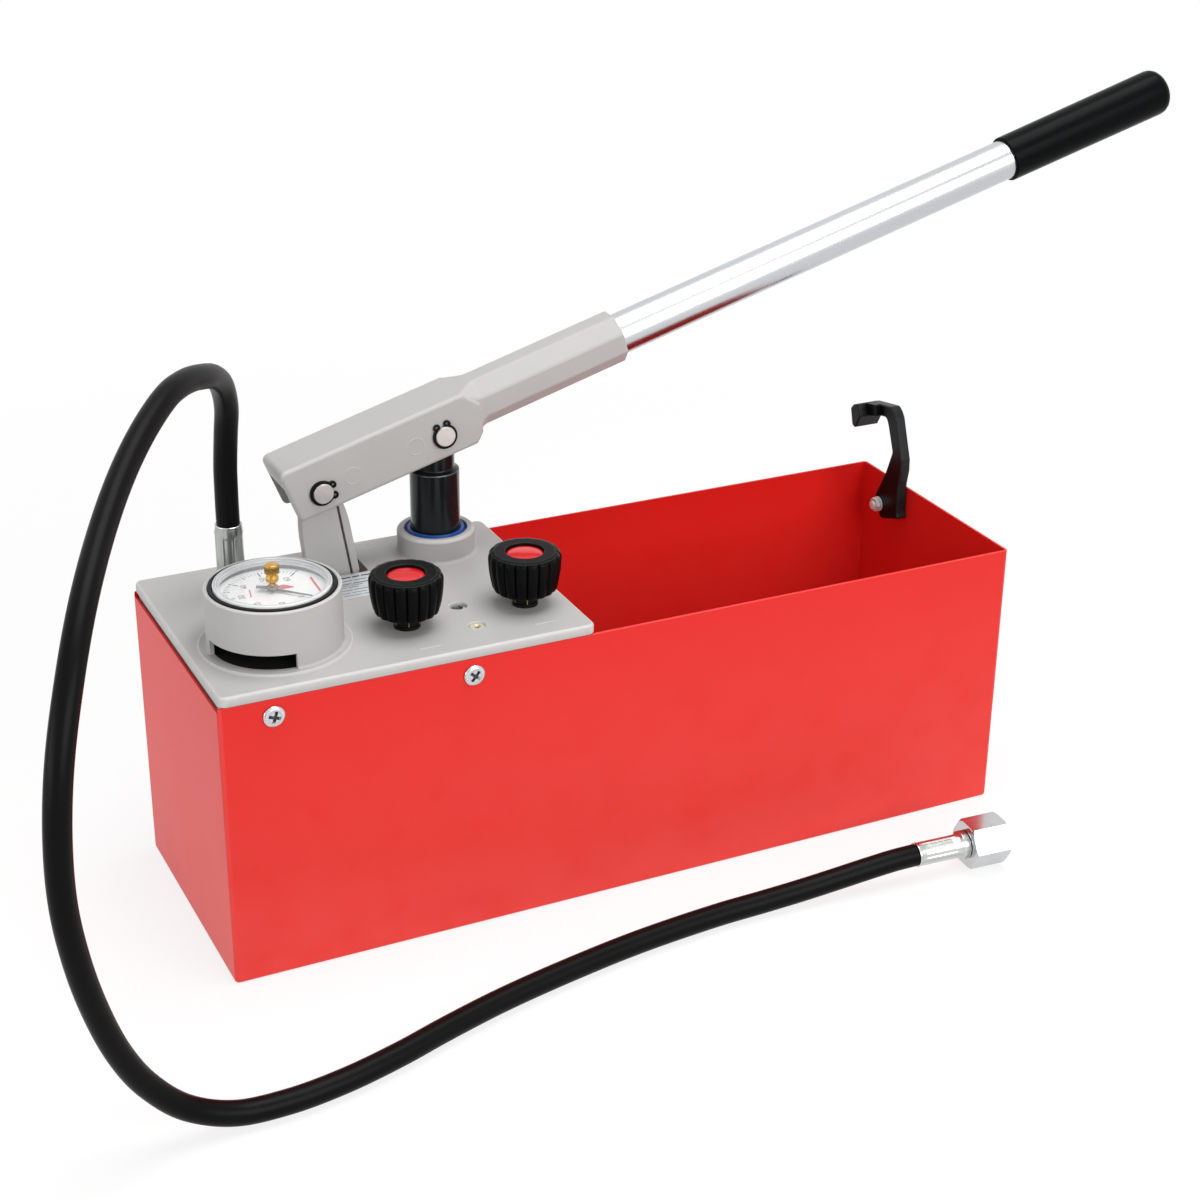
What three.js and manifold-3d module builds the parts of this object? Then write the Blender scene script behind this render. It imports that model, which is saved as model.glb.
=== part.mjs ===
// Hand-operated hydrostatic test pump: a sheet-metal water tank with a cast cover that
// carries the gauge, two shut-off valves, the hose outlet and a lever-driven piston pump.
// Millimetres, +Z up. Origin: middle of the tank's underside. +X points to the open end
// of the tank, +Y to the side that the pump stands on.

import * as THREE from 'three';
import { mergeVertices } from 'three/addons/utils/BufferGeometryUtils.js';
import Module from 'manifold-3d';

const wasm = await Module();
wasm.setup();

// Shared gaps and counts
const fitGap = 0.3;
const cutOverrun = 3;
const mergeTolerance = 0.0001;
const roundSides = 32;
const smallSides = 16;
const hexSides = 6;

// Tank
const tankLength = 500;
const tankWidth = 164;
const tankHeight = 172;
const tankSheet = 1.5;
const endRimDrop = 2.5;

// Cover plate
const plateLength = 219;
const plateInset = 1;
const plateOverhang = 0.5;
const plateThick = 6;
const plateCorner = 3;
const skirtDepth = 9;
const skirtThick = 3;
const skirtGap = 0.8;
const sideBossWidth = 17;
const sideBossDepth = 15;
const sideBossHeight = 23;
const padAlongShare = 0.77626;
const padWidth = 52;
const padDepth = 25;
const padFromLeftShare = 0.16438;
const padAcrossShare = -0.49697;
const armLength = 28;
const armWidth = 74;

// Side screws
const sideScrewFromLeftShare = 0.13425;
const sideScrewSpacingShare = 0.52603;
const sideScrewBelow = 10.3;
const sideScrewRadius = 3;
const sideScrewReach = 15;
const sideHeadRadius = 6.2;
const sideHeadHeight = 2.4;
const crossWidth = 1.4;
const crossLength = 6;
const crossDepth = 1.5;

// Gauge well and gauge
const gaugeFromLeftShare = 0.22374;
const gaugeAcrossShare = -0.35152;
const wellWall = 2.4;
const wellInner = 35.3;
const wellHeight = 34.9;
const wellFillet = 4;
const windowSill = 0.8;
const windowHeight = 8.9;
const caseWall = 2.2;
const caseFloor = 2.5;
const caseRise = 11.7;
const caseHeight = 23.8;
const lensSeatWidth = 1.2;
const lensThick = 3.4;
const lensProud = 1.2;
const stemRadius = 5;
const stemBelow = 14;
const dialThick = 0.8;
const dialDrop = 8.9;
const pointerThick = 0.7;
const pointerGap = 1.2;
const pointerLength = 24;
const pointerTail = 8;
const pointerWidth = 1.6;
const pointerHub = 3;
const pointerTurn = -45;
const arborRadius = 1;
const arborDepth = 5;
const dragLength = 17;
const dragTail = 9;
const dragTurn = -24;
const movementLength = 22;
const movementWidth = 16;
const bourdonRadius = 24;
const bourdonTube = 2.6;
const bourdonSweepShare = 0.68;
const resetRadius = 4.1;
const resetHeight = 10;
const resetNeck = 2;
const resetNeckRise = 1.4;

// Pump
const pumpFromRightShare = 0.19178;
const pumpWallRoom = 4.2;
const pistonRadius = 14.8;
const neckRadius = 12;
const pistonPinRise = 78.5;
const shoulderBelowPin = 24.8;
const pistonReach = 128.8;
const collarRadius = 23.3;
const collarBore = 18.8;
const collarHeight = 14.7;
const collarFillet = 3;
const sealProud = 1.5;
const sealHeight = 9.5;
const sealLip = 1.2;
const cylinderWall = 4.3;
const cylinderDepth = 88;
const cylinderFloor = 6;
const cylinderRun = 0.9;
const pistonSealHeight = 4.2;
const pistonSealAbove = 3;
const pistonSealDeep = 2.4;

// Suction valve, strainer and delivery valve
const suctionBallRadius = 5;
const seatRadius = 3.5;
const ballSide = 1.3;
const suctionLift = 2;
const suctionSpigot = 8;
const suctionFlange = 6.5;
const suctionFlangeRadius = 18;
const suctionNose = 8;
const cageTop = 3.5;
const strainerRadius = 13;
const strainerLength = 46;
const strainerWall = 1.5;
const strainerSlotWidth = 3;
const strainerSlotHeight = 24;
const strainerSlotRise = 8;
const strainerSlots = 6;
const deliveryFromRightShare = 0.27854;
const deliveryAcrossShare = -0.33333;
const deliveryBallRadius = 3.5;
const deliverySeatRadius = 2.5;
const deliveryPlugRadius = 4.8;
const deliveryPlugLength = 8.5;
const deliveryLift = 2;
const plugRecess = 1.6;
const plugSocket = 2.6;
const plugSocketDepth = 4;
const channelPlugFromRightShare = 0.27991;
const channelPlugAcrossShare = -0.67636;
const channelPlugRadius = 4.4;
const channelPlugLength = 7;
const channelHoleRadius = 1.4;

// Shut-off valves
const valveFromRightShare = 0.11416;
const valveSpacingShare = 0.32877;
const valveAcrossShare = -0.48848;
const glandRadius = 7;
const glandHeight = 8.7;
const glandThread = 5.5;
const glandDepth = 10;
const spindleRadius = 3;
const discRadius = 4.6;
const discThick = 2.5;
const valveSeatRadius = 2.5;
const valveLift = 2.4;
const knobTopRadius = 21;
const knobBottomRadius = 18.5;
const knobRise = 11.2;
const knobHeight = 21.8;
const knobShoulder = 6.5;
const knobRim = 3.2;
const fluteDepth = 1.5;
const knobFlutes = 18;
const fluteSteps = 3;
const capRadius = 10.6;
const capThick = 3.5;
const capDrop = 0.8;

// Rating plate
const ratingFromRightShare = 0.46575;
const ratingGap = 2;
const ratingLength = 32;
const ratingWidth = 31;
const ratingThick = 0.5;

// Fulcrum link
const linkFromPump = 67.5;
const linkPinDrop = 12.3;
const linkPinRadius = 5;
const linkFoot = 14;
const linkWaist = 16.5;
const linkWaistUp = 18;
const linkShoulder = 14.8;
const linkShoulderUp = 53;
const linkEye = 10.3;
const linkWidth = 24;
const linkPlate = 7;
const linkRib = 8;
const linkGroove = 2;
const linkGrooveDepth = 5;
const linkGrooveInset = 4.9;
const eyeTravelAcross = 4.9;
const eyeTravelUp = 2.3;
const eyeDip = 0.5;
const eyeSlack = 1;
const lugThick = 6;
const lugRadius = 11;
const lugGap = 0.5;
const slotLength = 42;
const slotShift = 1.5;
const slotWidth = 27;

// Lever
const leverAngle = 16.2;
const fulcrumReach = 79;
const fulcrumDrop = 1;
const leverPinRadius = 6;
const castingWidth = 34.6;
const channelWidth = 26;
const castingBack = 98.7;
const castingBackLow = 96;
const castingTopBack = 19.5;
const castingTopFront = 17.3;
const castingFront = 17.7;
const cheekNose = 27;
const cheekNoseUp = 6;
const cheekChin = 23.5;
const cheekChinDown = 8.4;
const cheekHeel = 18.5;
const cheekHeelDown = 14;
const castingBottomBack = 13;
const channelRoof = 14.5;
const channelFront = 14.5;
const endWallThick = 3;
const endWallLow = 8.7;
const socketUp = 4.8;
const socketApothem = 15;
const socketSides = 8;
const socketEnd = 125;
const tubeRadius = 12.5;
const tubeWall = 1.5;
const tubeStart = 60;
const tubeEnd = 525;
const gripStart = 410;
const gripEnd = 533;
const gripStartRadius = 14.3;
const gripEndRadius = 14.8;
const gripRound = 6;
const clipOuter = 7;
const clipGroove = 5.2;
const clipThick = 1.2;
const clipLug = 8.4;
const clipLugRadius = 1.6;
const clipMouth = 1.6;
const pinProud = 2.7;
const fulcrumClipTurn = 0;
const pistonClipTurn = 115;

// Hose and its fittings
const outletBehindLever = 29.78;
const outletAcrossShare = 0.51515;
const adapterThread = 6.3;
const adapterDepth = 14;
const adapterFlats = 19;
const adapterHex = 9;
const adapterNeck = 6;
const adapterNeckRise = 4;
const hoseRadius = 6.7;
const hoseSides = 10;
const hoseSteps = 52;
const hoseBore = 3.3;
const ferruleTop = 43.4;
const ferruleSlim = 7.25;
const ferruleWide = 8.25;
const ferruleTaper = 6;
const ferruleLength = 34;
const ferruleRing = 8.8;
const ferruleRingWidth = 4;
const endYaw = -3.5;
const endPlace = [153, -146.5, 15.9];
const nutFlats = 27;
const nutLength = 24;
const nutBack = 4;
const nutBackBore = 6.4;
const nutBore = 10.5;
const nutChamfer = 1.6;
const tailFlange = 9.8;
const tailFlangeThick = 4.4;
const tailNose = 3.6;
const tailNoseRadius = 6.6;
const hoseRoute = [
  [-202, 42.5, 222], [-202, 42.5, 232], [-202, 42, 243], [-202, 41, 256], [-202, 36, 277], [-203.5, 26, 297],
  [-210, 10, 316], [-219, -7, 327.5], [-230, -25, 335], [-243, -42, 340], [-257.5, -60, 341],
  [-274, -80, 335], [-292, -103, 324], [-312, -134, 309], [-333, -172, 289.5],
  [-348, -198, 265], [-359.5, -214.5, 233], [-365, -221, 200], [-366, -222, 167.5],
  [-363, -220.5, 138], [-356, -216, 104], [-344.5, -210, 68], [-331, -205.5, 42],
  [-312, -202.5, 20.5], [-288, -202, 9], [-260, -202, 7], [-229, -198, 7], [-195, -189, 7],
  [-163, -178, 7], [-127, -167, 7], [-82, -156.5, 7], [-32, -147.5, 7], [22.7, -142, 7],
  [49.4, -141.6, 7.4], [76, -142, 8.7], [98, -143, 10.8], [120, -144.4, 13.4],
  [138, -145.6, 15.3],
];

// Handle hook
const hookBesidePump = 2.5;
const hookDrop = 17.5;
const hookThick = 7;
const hookTipThick = 17.5;
const hookRampThick = 11;
const hookScrewRadius = 2.5;
const hookHeadRadius = 4.6;
const hookHeadHeight = 2.4;
const hookNutFlats = 8;
const hookNutThick = 3.2;
const hookWasherRadius = 5;
const hookWasherThick = 0.8;
const hookScrewTail = 1.2;
const hookSize = 80;
const hookOutlineShares = [
  [-0.292, -0.03], [-0.031, -0.123], [0.082, 0.028], [-0.064, 0.302], [-0.141, 0.501],
  [-0.057, 0.704], [-0.024, 0.761], [0.07, 0.745], [0.206, 0.715], [0.231, 0.606],
  [0.275, 0.619], [0.312, 0.754], [0.273, 0.797], [0.211, 0.819], [-0.08, 0.871],
  [-0.123, 0.844], [-0.16, 0.802], [-0.28, 0.476], [-0.284, 0.381], [-0.26, 0.256],
  [-0.264, 0.006],
];
const hookTipShares = [
  [0.163, 0.725], [0.231, 0.606], [0.275, 0.619], [0.312, 0.754], [0.273, 0.797],
  [0.211, 0.819],
];
const hookRampShares = [
  [0.05, 0.749], [0.206, 0.715], [0.211, 0.819], [0.075, 0.843],
];

// Places worked out from the sizes above
const plateLeft = -tankLength / 2 + plateInset;
const plateRight = plateLeft + plateLength;
const plateUnder = tankHeight + fitGap;
const plateTop = plateUnder + plateThick;
const plateHalf = tankWidth / 2 + plateOverhang;
const wallInside = tankWidth / 2 - tankSheet;
const padAcross = plateHalf * padAcrossShare;
const gaugeX = plateLeft + plateLength * gaugeFromLeftShare;
const gaugeAcross = plateHalf * gaugeAcrossShare;
const valveAcross = plateHalf * valveAcrossShare;
const wellOuter = wellInner + wellWall;
const caseRadius = wellInner - fitGap;
const lensRadius = caseRadius - caseWall - fitGap;
const lensSeatRadius = lensRadius - lensSeatWidth;
const lensTop = caseRise + caseHeight + lensProud;
const lensUnder = lensTop - lensThick;
const dialTop = caseRise + caseHeight - dialDrop + dialThick;
const pointerUnder = dialTop + pointerGap;
const pointerTop = pointerUnder + pointerThick;
const dragUnder = pointerTop + pointerGap;
const pumpX = plateRight - plateLength * pumpFromRightShare;
const pinZ = plateTop + pistonPinRise;
const cylinderTop = plateUnder - fitGap;
const cylinderBore = pistonRadius + cylinderRun;
const cylinderRadius = cylinderBore + cylinderWall;
const pumpAcross = wallInside - skirtGap - skirtThick - pumpWallRoom - cylinderRadius;
const cylinderBottom = cylinderTop - cylinderDepth;
const linkX = pumpX - linkFromPump;
const linkZ = plateUnder - linkPinDrop;
const leverTurn = THREE.MathUtils.degToRad(leverAngle);
const fulcrumX = pumpX - fulcrumReach * Math.cos(leverTurn) + fulcrumDrop * Math.sin(leverTurn);
const fulcrumZ = pinZ - fulcrumReach * Math.sin(leverTurn) - fulcrumDrop * Math.cos(leverTurn);
const linkLength = Math.hypot(fulcrumX - linkX, fulcrumZ - linkZ);
const linkLean = Math.atan2(fulcrumX - linkX, fulcrumZ - linkZ);
const leverBack = castingBack * Math.cos(leverTurn) + castingTopBack * Math.sin(leverTurn);
const outletX = pumpX - leverBack - outletBehindLever;
const outletAcross = plateHalf * outletAcrossShare;
const deliveryX = plateRight - plateLength * deliveryFromRightShare;
const deliveryAcross = plateHalf * deliveryAcrossShare;
const channelPlugX = plateRight - plateLength * channelPlugFromRightShare;
const channelPlugAcross = plateHalf * channelPlugAcrossShare;
const wallFaceX = tankLength / 2 - tankSheet;
const hookAcross = pumpAcross - hookBesidePump;
const hookZ = tankHeight - hookDrop;
const padBottom = plateUnder - padDepth;

// Finishes
function finish(color, roughness, metalness) {
  return new THREE.MeshStandardMaterial({ color, roughness, metalness });
}

const redPaint = finish(0xd8302b, 0.35, 0);
const castGrey = finish(0xc6c6c4, 0.55, 0.4);
const zincSteel = finish(0xb9bcc0, 0.35, 1);
const darkSteel = finish(0x2a2d2f, 0.4, 0.9);
const blackPlastic = finish(0x161718, 0.5, 0);
const blackRubber = finish(0x1b1b1c, 0.8, 0);
const capRed = finish(0xcf2f35, 0.35, 0);
const brass = finish(0xc8963c, 0.3, 1);
const sealBlue = finish(0x1f66b0, 0.5, 0);
const dialWhite = finish(0xf2f2ef, 0.6, 0);
const pointerRed = finish(0xc8202a, 0.5, 0);
const clearLens = finish(0xdfe8ec, 0.05, 0);
const labelSilver = finish(0xd4d5d6, 0.4, 0.5);

// A closed geometry as a solid that can be joined and cut, with its faces turned outward
function solid(shape) {
  if (!(shape instanceof THREE.BufferGeometry)) return shape;
  const bare = shape.clone();
  for (const name of Object.keys(bare.attributes)) {
    if (name !== 'position') bare.deleteAttribute(name);
  }
  const merged = mergeVertices(bare, mergeTolerance);
  const places = merged.attributes.position;
  const corners = [];
  let volume = 0;
  for (let i = 0; i < merged.index.count; i += 3) {
    const [a, b, c] = [0, 1, 2].map((step) => merged.index.getX(i + step));
    if (a === b || b === c || c === a) continue;
    const [p, q, r] = [a, b, c].map((at) => new THREE.Vector3().fromBufferAttribute(places, at));
    volume += p.dot(q.cross(r));
    corners.push(a, b, c);
  }
  if (volume < 0) corners.reverse();
  const vertProperties = new Float32Array(places.array);
  const triVerts = new Uint32Array(corners);
  return new wasm.Manifold(new wasm.Mesh({ numProp: 3, vertProperties, triVerts }));
}

function join(first, ...others) {
  return others.reduce((whole, other) => whole.add(solid(other)), solid(first));
}

function cut(first, ...tools) {
  return tools.reduce((whole, tool) => whole.subtract(solid(tool)), solid(first));
}

function common(first, second) {
  return solid(first).intersect(solid(second));
}

// A named mesh of one solid
function piece(name, shape, material) {
  const mesh = solid(shape).getMesh();
  const geometry = new THREE.BufferGeometry();
  geometry.setAttribute('position', new THREE.BufferAttribute(mesh.vertProperties, 3));
  geometry.setIndex(new THREE.BufferAttribute(mesh.triVerts, 1));
  geometry.computeVertexNormals();
  const made = new THREE.Mesh(geometry, material);
  made.name = name;
  return made;
}

// A group at a place, holding the given objects
function groupAt(place, ...objects) {
  const group = new THREE.Group();
  group.position.set(...place);
  group.add(...objects);
  return group;
}

// A profile of [radius, height] points turned about Z
function turned(profile, sides = roundSides) {
  const points = profile.map(([radius, height]) => new THREE.Vector2(radius, height));
  return new THREE.LatheGeometry(points, sides).rotateX(Math.PI / 2);
}

function disc(radius, low, high, sides = roundSides) {
  return turned([[0, low], [radius, low], [radius, high], [0, high]], sides);
}

function ring(outer, inner, low, high, sides = roundSides) {
  const profile = [[inner, low], [outer, low], [outer, high], [inner, high], [inner, low]];
  return turned(profile, sides);
}

function block([x0, x1], [y0, y1], [z0, z1]) {
  const box = new THREE.BoxGeometry(x1 - x0, y1 - y0, z1 - z0);
  return box.translate((x0 + x1) / 2, (y0 + y1) / 2, (z0 + z1) / 2);
}

function outline(points) {
  return new THREE.Shape(points.map(([across, up]) => new THREE.Vector2(across, up)));
}

// An outline in X and Y, raised from low to high
function raised(shape, low, high, curveSegments = smallSides / 2) {
  const options = { depth: high - low, bevelEnabled: false, curveSegments };
  return new THREE.ExtrudeGeometry(shape, options).translate(0, 0, low);
}

// An outline in X and Z, running along Y from near to far
function alongY(shape, near, far, curveSegments) {
  return raised(shape, -far, -near, curveSegments).rotateX(Math.PI / 2);
}

// An outline in Y and Z, running along X from left to right
function alongX(shape, left, right, curveSegments) {
  return raised(shape, left, right, curveSegments).rotateX(Math.PI / 2).rotateZ(Math.PI / 2);
}

function roundRect(left, right, near, far, corner) {
  const shape = new THREE.Shape();
  shape.moveTo(left + corner, near);
  shape.absarc(right - corner, near + corner, corner, -Math.PI / 2, 0);
  shape.absarc(right - corner, far - corner, corner, 0, Math.PI / 2);
  shape.absarc(left + corner, far - corner, corner, Math.PI / 2, Math.PI);
  shape.absarc(left + corner, near + corner, corner, Math.PI, Math.PI * 3 / 2);
  return shape;
}

// A bar with flats, its corner radius worked out from the width across flats
function flatsBar(sides, acrossFlats, low, high) {
  const corner = acrossFlats / 2 / Math.cos(Math.PI / sides);
  return disc(corner, low, high, sides).rotateZ(Math.PI / sides);
}

function layAlongX(geometry) {
  return geometry.rotateY(Math.PI / 2);
}

function layAlongY(geometry) {
  return geometry.rotateX(-Math.PI / 2);
}

function makeTank() {
  const halfLength = tankLength / 2;
  const halfWidth = tankWidth / 2;
  const outside = block([-halfLength, halfLength], [-halfWidth, halfWidth], [0, tankHeight]);
  const inside = block(
    [-wallFaceX, wallFaceX],
    [-wallInside, wallInside],
    [tankSheet, tankHeight + cutOverrun],
  );
  const lowRim = block(
    [-halfLength - cutOverrun, -wallFaceX + cutOverrun],
    [-wallInside, wallInside],
    [tankHeight - endRimDrop, tankHeight + cutOverrun],
  );
  const holes = sideScrewPlaces().map(([x, side]) => (
    layAlongY(disc(sideScrewRadius + fitGap, wallInside - cutOverrun, halfWidth + cutOverrun, smallSides))
      .scale(1, side, 1)
      .translate(x, 0, plateUnder - sideScrewBelow)
  ));
  const hookBore = layAlongX(disc(hookScrewRadius + fitGap, wallFaceX / 2, tankLength, smallSides))
    .translate(0, hookAcross, hookZ);
  return piece('tank_shell', cut(outside, inside, lowRim, ...holes, hookBore), redPaint);
}

// Each side screw's place along X and the side of the tank that it stands on
function sideScrewPlaces() {
  const first = plateLeft + plateLength * sideScrewFromLeftShare;
  const spacing = plateLength * sideScrewSpacingShare;
  const places = [];
  for (const side of [-1, 1]) {
    for (const step of [0, 1]) places.push([first + step * spacing, side]);
  }
  return places;
}

function makeSideScrews() {
  const names = ['front_left', 'front_right', 'rear_left', 'rear_right'];
  const headLow = tankWidth / 2 + fitGap;
  const tip = tankWidth / 2 - sideScrewReach;
  const profile = [
    [0, tip],
    [sideScrewRadius, tip],
    [sideScrewRadius, headLow],
    [sideHeadRadius, headLow],
    [sideHeadRadius, headLow + sideHeadHeight / 2],
    [sideHeadRadius - sideHeadHeight / 2, headLow + sideHeadHeight],
    [0, headLow + sideHeadHeight],
  ];
  const crossLow = headLow + sideHeadHeight - crossDepth;
  const crossHigh = headLow + sideHeadHeight + cutOverrun;
  const long = crossLength / 2;
  const thin = crossWidth / 2;
  const cross = join(
    block([-long, long], [-thin, thin], [crossLow, crossHigh]),
    block([-thin, thin], [-long, long], [crossLow, crossHigh]),
  );
  const screw = piece('', cut(turned(profile, smallSides), cross), zincSteel).geometry;
  return sideScrewPlaces().map(([x, side], at) => {
    const made = new THREE.Mesh(screw, zincSteel);
    made.name = `side_screw_${names[at]}`;
    made.position.set(x, 0, plateUnder - sideScrewBelow);
    made.rotation.x = -side * Math.PI / 2;
    return made;
  });
}

// The cover's plain slab with its skirt, side bosses and the drilled pads under it
function coverBody() {
  const sheet = roundRect(plateLeft, plateRight, -plateHalf, plateHalf, plateCorner);
  const slab = raised(sheet, plateUnder, plateTop);
  const seatHigh = plateUnder + plateThick / 2;
  const left = -wallFaceX + skirtGap;
  const right = plateRight - plateInset;
  const side = wallInside - skirtGap;
  const skirtOut = block([left, right], [-side, side], [plateUnder - skirtDepth, seatHigh]);
  const skirtIn = block(
    [left + skirtThick, right - skirtThick],
    [-side + skirtThick, side - skirtThick],
    [plateUnder - skirtDepth - cutOverrun, plateUnder],
  );
  const bosses = sideScrewPlaces().map(([x, face]) => {
    const near = face < 0 ? -side : side - sideBossDepth;
    return block(
      [x - sideBossWidth / 2, x + sideBossWidth / 2],
      [near, near + sideBossDepth],
      [plateUnder - sideBossHeight, seatHigh],
    );
  });
  const padLeft = plateLeft + plateLength * padFromLeftShare;
  const pad = block(
    [padLeft, padLeft + plateLength * padAlongShare],
    [padAcross - padWidth / 2, padAcross + padWidth / 2],
    [padBottom, seatHigh],
  );
  const arm = block(
    [outletX - armLength / 2, outletX + armLength / 2],
    [outletAcross + armLength / 2 - armWidth, outletAcross + armLength / 2],
    [padBottom, seatHigh],
  );
  return join(slab, cut(skirtOut, skirtIn), ...bosses, pad, arm);
}

function makeCover() {
  const bossTop = plateUnder + plateThick / 2;
  const well = turned([
    [wellInner, bossTop],
    [wellOuter + wellFillet, bossTop],
    [wellOuter + wellFillet, plateTop],
    [wellOuter + wellFillet / 3, plateTop + wellFillet / 3],
    [wellOuter, plateTop + wellFillet],
    [wellOuter, plateTop + wellHeight],
    [wellInner, plateTop + wellHeight],
    [wellInner, bossTop],
  ], roundSides).translate(gaugeX, gaugeAcross, 0);
  const collar = turned([
    [0, bossTop],
    [collarRadius + collarFillet, bossTop],
    [collarRadius + collarFillet, plateTop],
    [collarRadius + collarFillet / 3, plateTop + collarFillet / 3],
    [collarRadius, plateTop + collarFillet],
    [collarRadius, plateTop + collarHeight],
    [0, plateTop + collarHeight],
  ]).translate(pumpX, pumpAcross, 0);
  const lugs = [-1, 1].map((side) => {
    const near = pumpAcross + side * (linkWidth / 2 + lugGap + lugThick / 2) - lugThick / 2;
    const shape = new THREE.Shape();
    shape.moveTo(linkX + lugRadius, bossTop);
    shape.lineTo(linkX - lugRadius, bossTop);
    shape.absarc(linkX, linkZ, lugRadius, Math.PI, Math.PI * 2);
    return alongY(shape, near, near + lugThick);
  });
  const body = join(coverBody(), well, collar, ...lugs);
  return piece('cover_casting', cut(body, ...coverCuts()), castGrey);
}

// Every hole in the cover, each as a solid to cut away
function coverCuts() {
  const over = plateTop + wellHeight + cutOverrun;
  const under = padBottom - cutOverrun;
  const window = block(
    [gaugeX - wellOuter - wellFillet - cutOverrun, gaugeX],
    [gaugeAcross - wellOuter - wellFillet - cutOverrun, gaugeAcross],
    [plateTop + windowSill, plateTop + windowSill + windowHeight],
  );
  const slotMiddle = linkX - slotShift;
  const slot = block(
    [slotMiddle - slotLength / 2, slotMiddle + slotLength / 2],
    [pumpAcross - slotWidth / 2, pumpAcross + slotWidth / 2],
    [linkZ, over],
  );
  const lugFaces = linkWidth / 2 + lugGap + lugThick + cutOverrun;
  const linkBore = layAlongY(disc(linkPinRadius + fitGap, -lugFaces, lugFaces, smallSides))
    .translate(linkX, pumpAcross, linkZ);
  const pumpBore = disc(collarBore, under, over).translate(pumpX, pumpAcross, 0);
  const stemBore = disc(stemRadius + fitGap, plateUnder - stemBelow - fitGap, over, smallSides);
  const outletBore = disc(adapterThread + fitGap, plateUnder - adapterDepth - fitGap, over, smallSides);
  const deliveryBore = stepBore(deliveryPlugRadius + fitGap, deliveryFloor(), deliverySeatRadius);
  const channelFloor = plateTop - plugRecess - channelPlugLength - fitGap;
  const channelBore = disc(channelPlugRadius + fitGap, channelFloor, over, smallSides);
  const screwBores = sideScrewPlaces().map(([x, side]) => {
    const reach = tankWidth / 2 - sideScrewReach - fitGap;
    const bore = disc(sideScrewRadius + fitGap, reach, tankWidth / 2 + cutOverrun, smallSides);
    return layAlongY(bore).scale(1, side, 1).translate(x, 0, plateUnder - sideScrewBelow);
  });
  const valveBores = valvePlaces().map((x) => (
    stepBore(glandThread + fitGap, valveSeatZ(), valveSeatRadius).translate(x, valveAcross, 0)
  ));
  return [
    window, slot, linkBore, pumpBore, ...screwBores, ...valveBores,
    stemBore.translate(gaugeX, gaugeAcross, 0),
    outletBore.translate(outletX, outletAcross, 0),
    deliveryBore.translate(deliveryX, deliveryAcross, 0),
    channelBore.translate(channelPlugX, channelPlugAcross, 0),
  ];
}

// A bore from above down to a floor, with a smaller hole from the floor out below
function stepBore(radius, floor, through) {
  return turned([
    [0, padBottom - cutOverrun],
    [through, padBottom - cutOverrun],
    [through, floor],
    [radius, floor],
    [radius, plateTop + cutOverrun],
    [0, plateTop + cutOverrun],
  ], smallSides);
}

function valvePlaces() {
  const right = plateRight - plateLength * valveFromRightShare;
  return [right - plateLength * valveSpacingShare, right];
}

function valveSeatZ() {
  return plateTop - glandDepth - fitGap - valveLift - discThick - fitGap;
}

// A ball's height over the rim of the round seat that it rests on
function ballOverSeat(ball, seat) {
  return Math.sqrt(ball * ball - seat * seat) + fitGap;
}

function deliveryFloor() {
  const plugUnder = plateTop - plugRecess - deliveryPlugLength;
  const ballRoom = ballOverSeat(deliveryBallRadius, deliverySeatRadius) + deliveryBallRadius;
  return plugUnder - fitGap - deliveryLift - ballRoom;
}

function makePlugs() {
  const plug = (name, radius, length, hole) => {
    const top = plateTop - plugRecess;
    const body = disc(radius, top - length, top, smallSides);
    return piece(name, cut(body, hole(top)), zincSteel);
  };
  const socket = (top) => flatsBar(hexSides, plugSocket * 2, top - plugSocketDepth, top + cutOverrun);
  const dimple = (top) => disc(channelHoleRadius, top - plugSocketDepth, top + cutOverrun, smallSides);
  const delivery = plug('delivery_plug', deliveryPlugRadius, deliveryPlugLength, socket);
  delivery.position.set(deliveryX, deliveryAcross, 0);
  const channel = plug('channel_plug', channelPlugRadius, channelPlugLength, dimple);
  channel.position.set(channelPlugX, channelPlugAcross, 0);
  const ball = new THREE.SphereGeometry(deliveryBallRadius, smallSides, smallSides / 2);
  const deliveryBall = piece('delivery_ball', ball, zincSteel);
  const ballZ = deliveryFloor() + ballOverSeat(deliveryBallRadius, deliverySeatRadius);
  deliveryBall.position.set(deliveryX, deliveryAcross, ballZ);
  return [delivery, channel, deliveryBall];
}

function makeRatingPlate() {
  const half = ratingLength / 2;
  const side = ratingWidth / 2;
  const sheet = block([-half, half], [-side, side], [0, ratingThick]);
  const plate = piece('rating_plate', sheet, labelSilver);
  const across = pumpAcross - slotWidth / 2 - ratingGap - side;
  plate.position.set(plateRight - plateLength * ratingFromRightShare, across, plateTop + fitGap);
  return plate;
}

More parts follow.
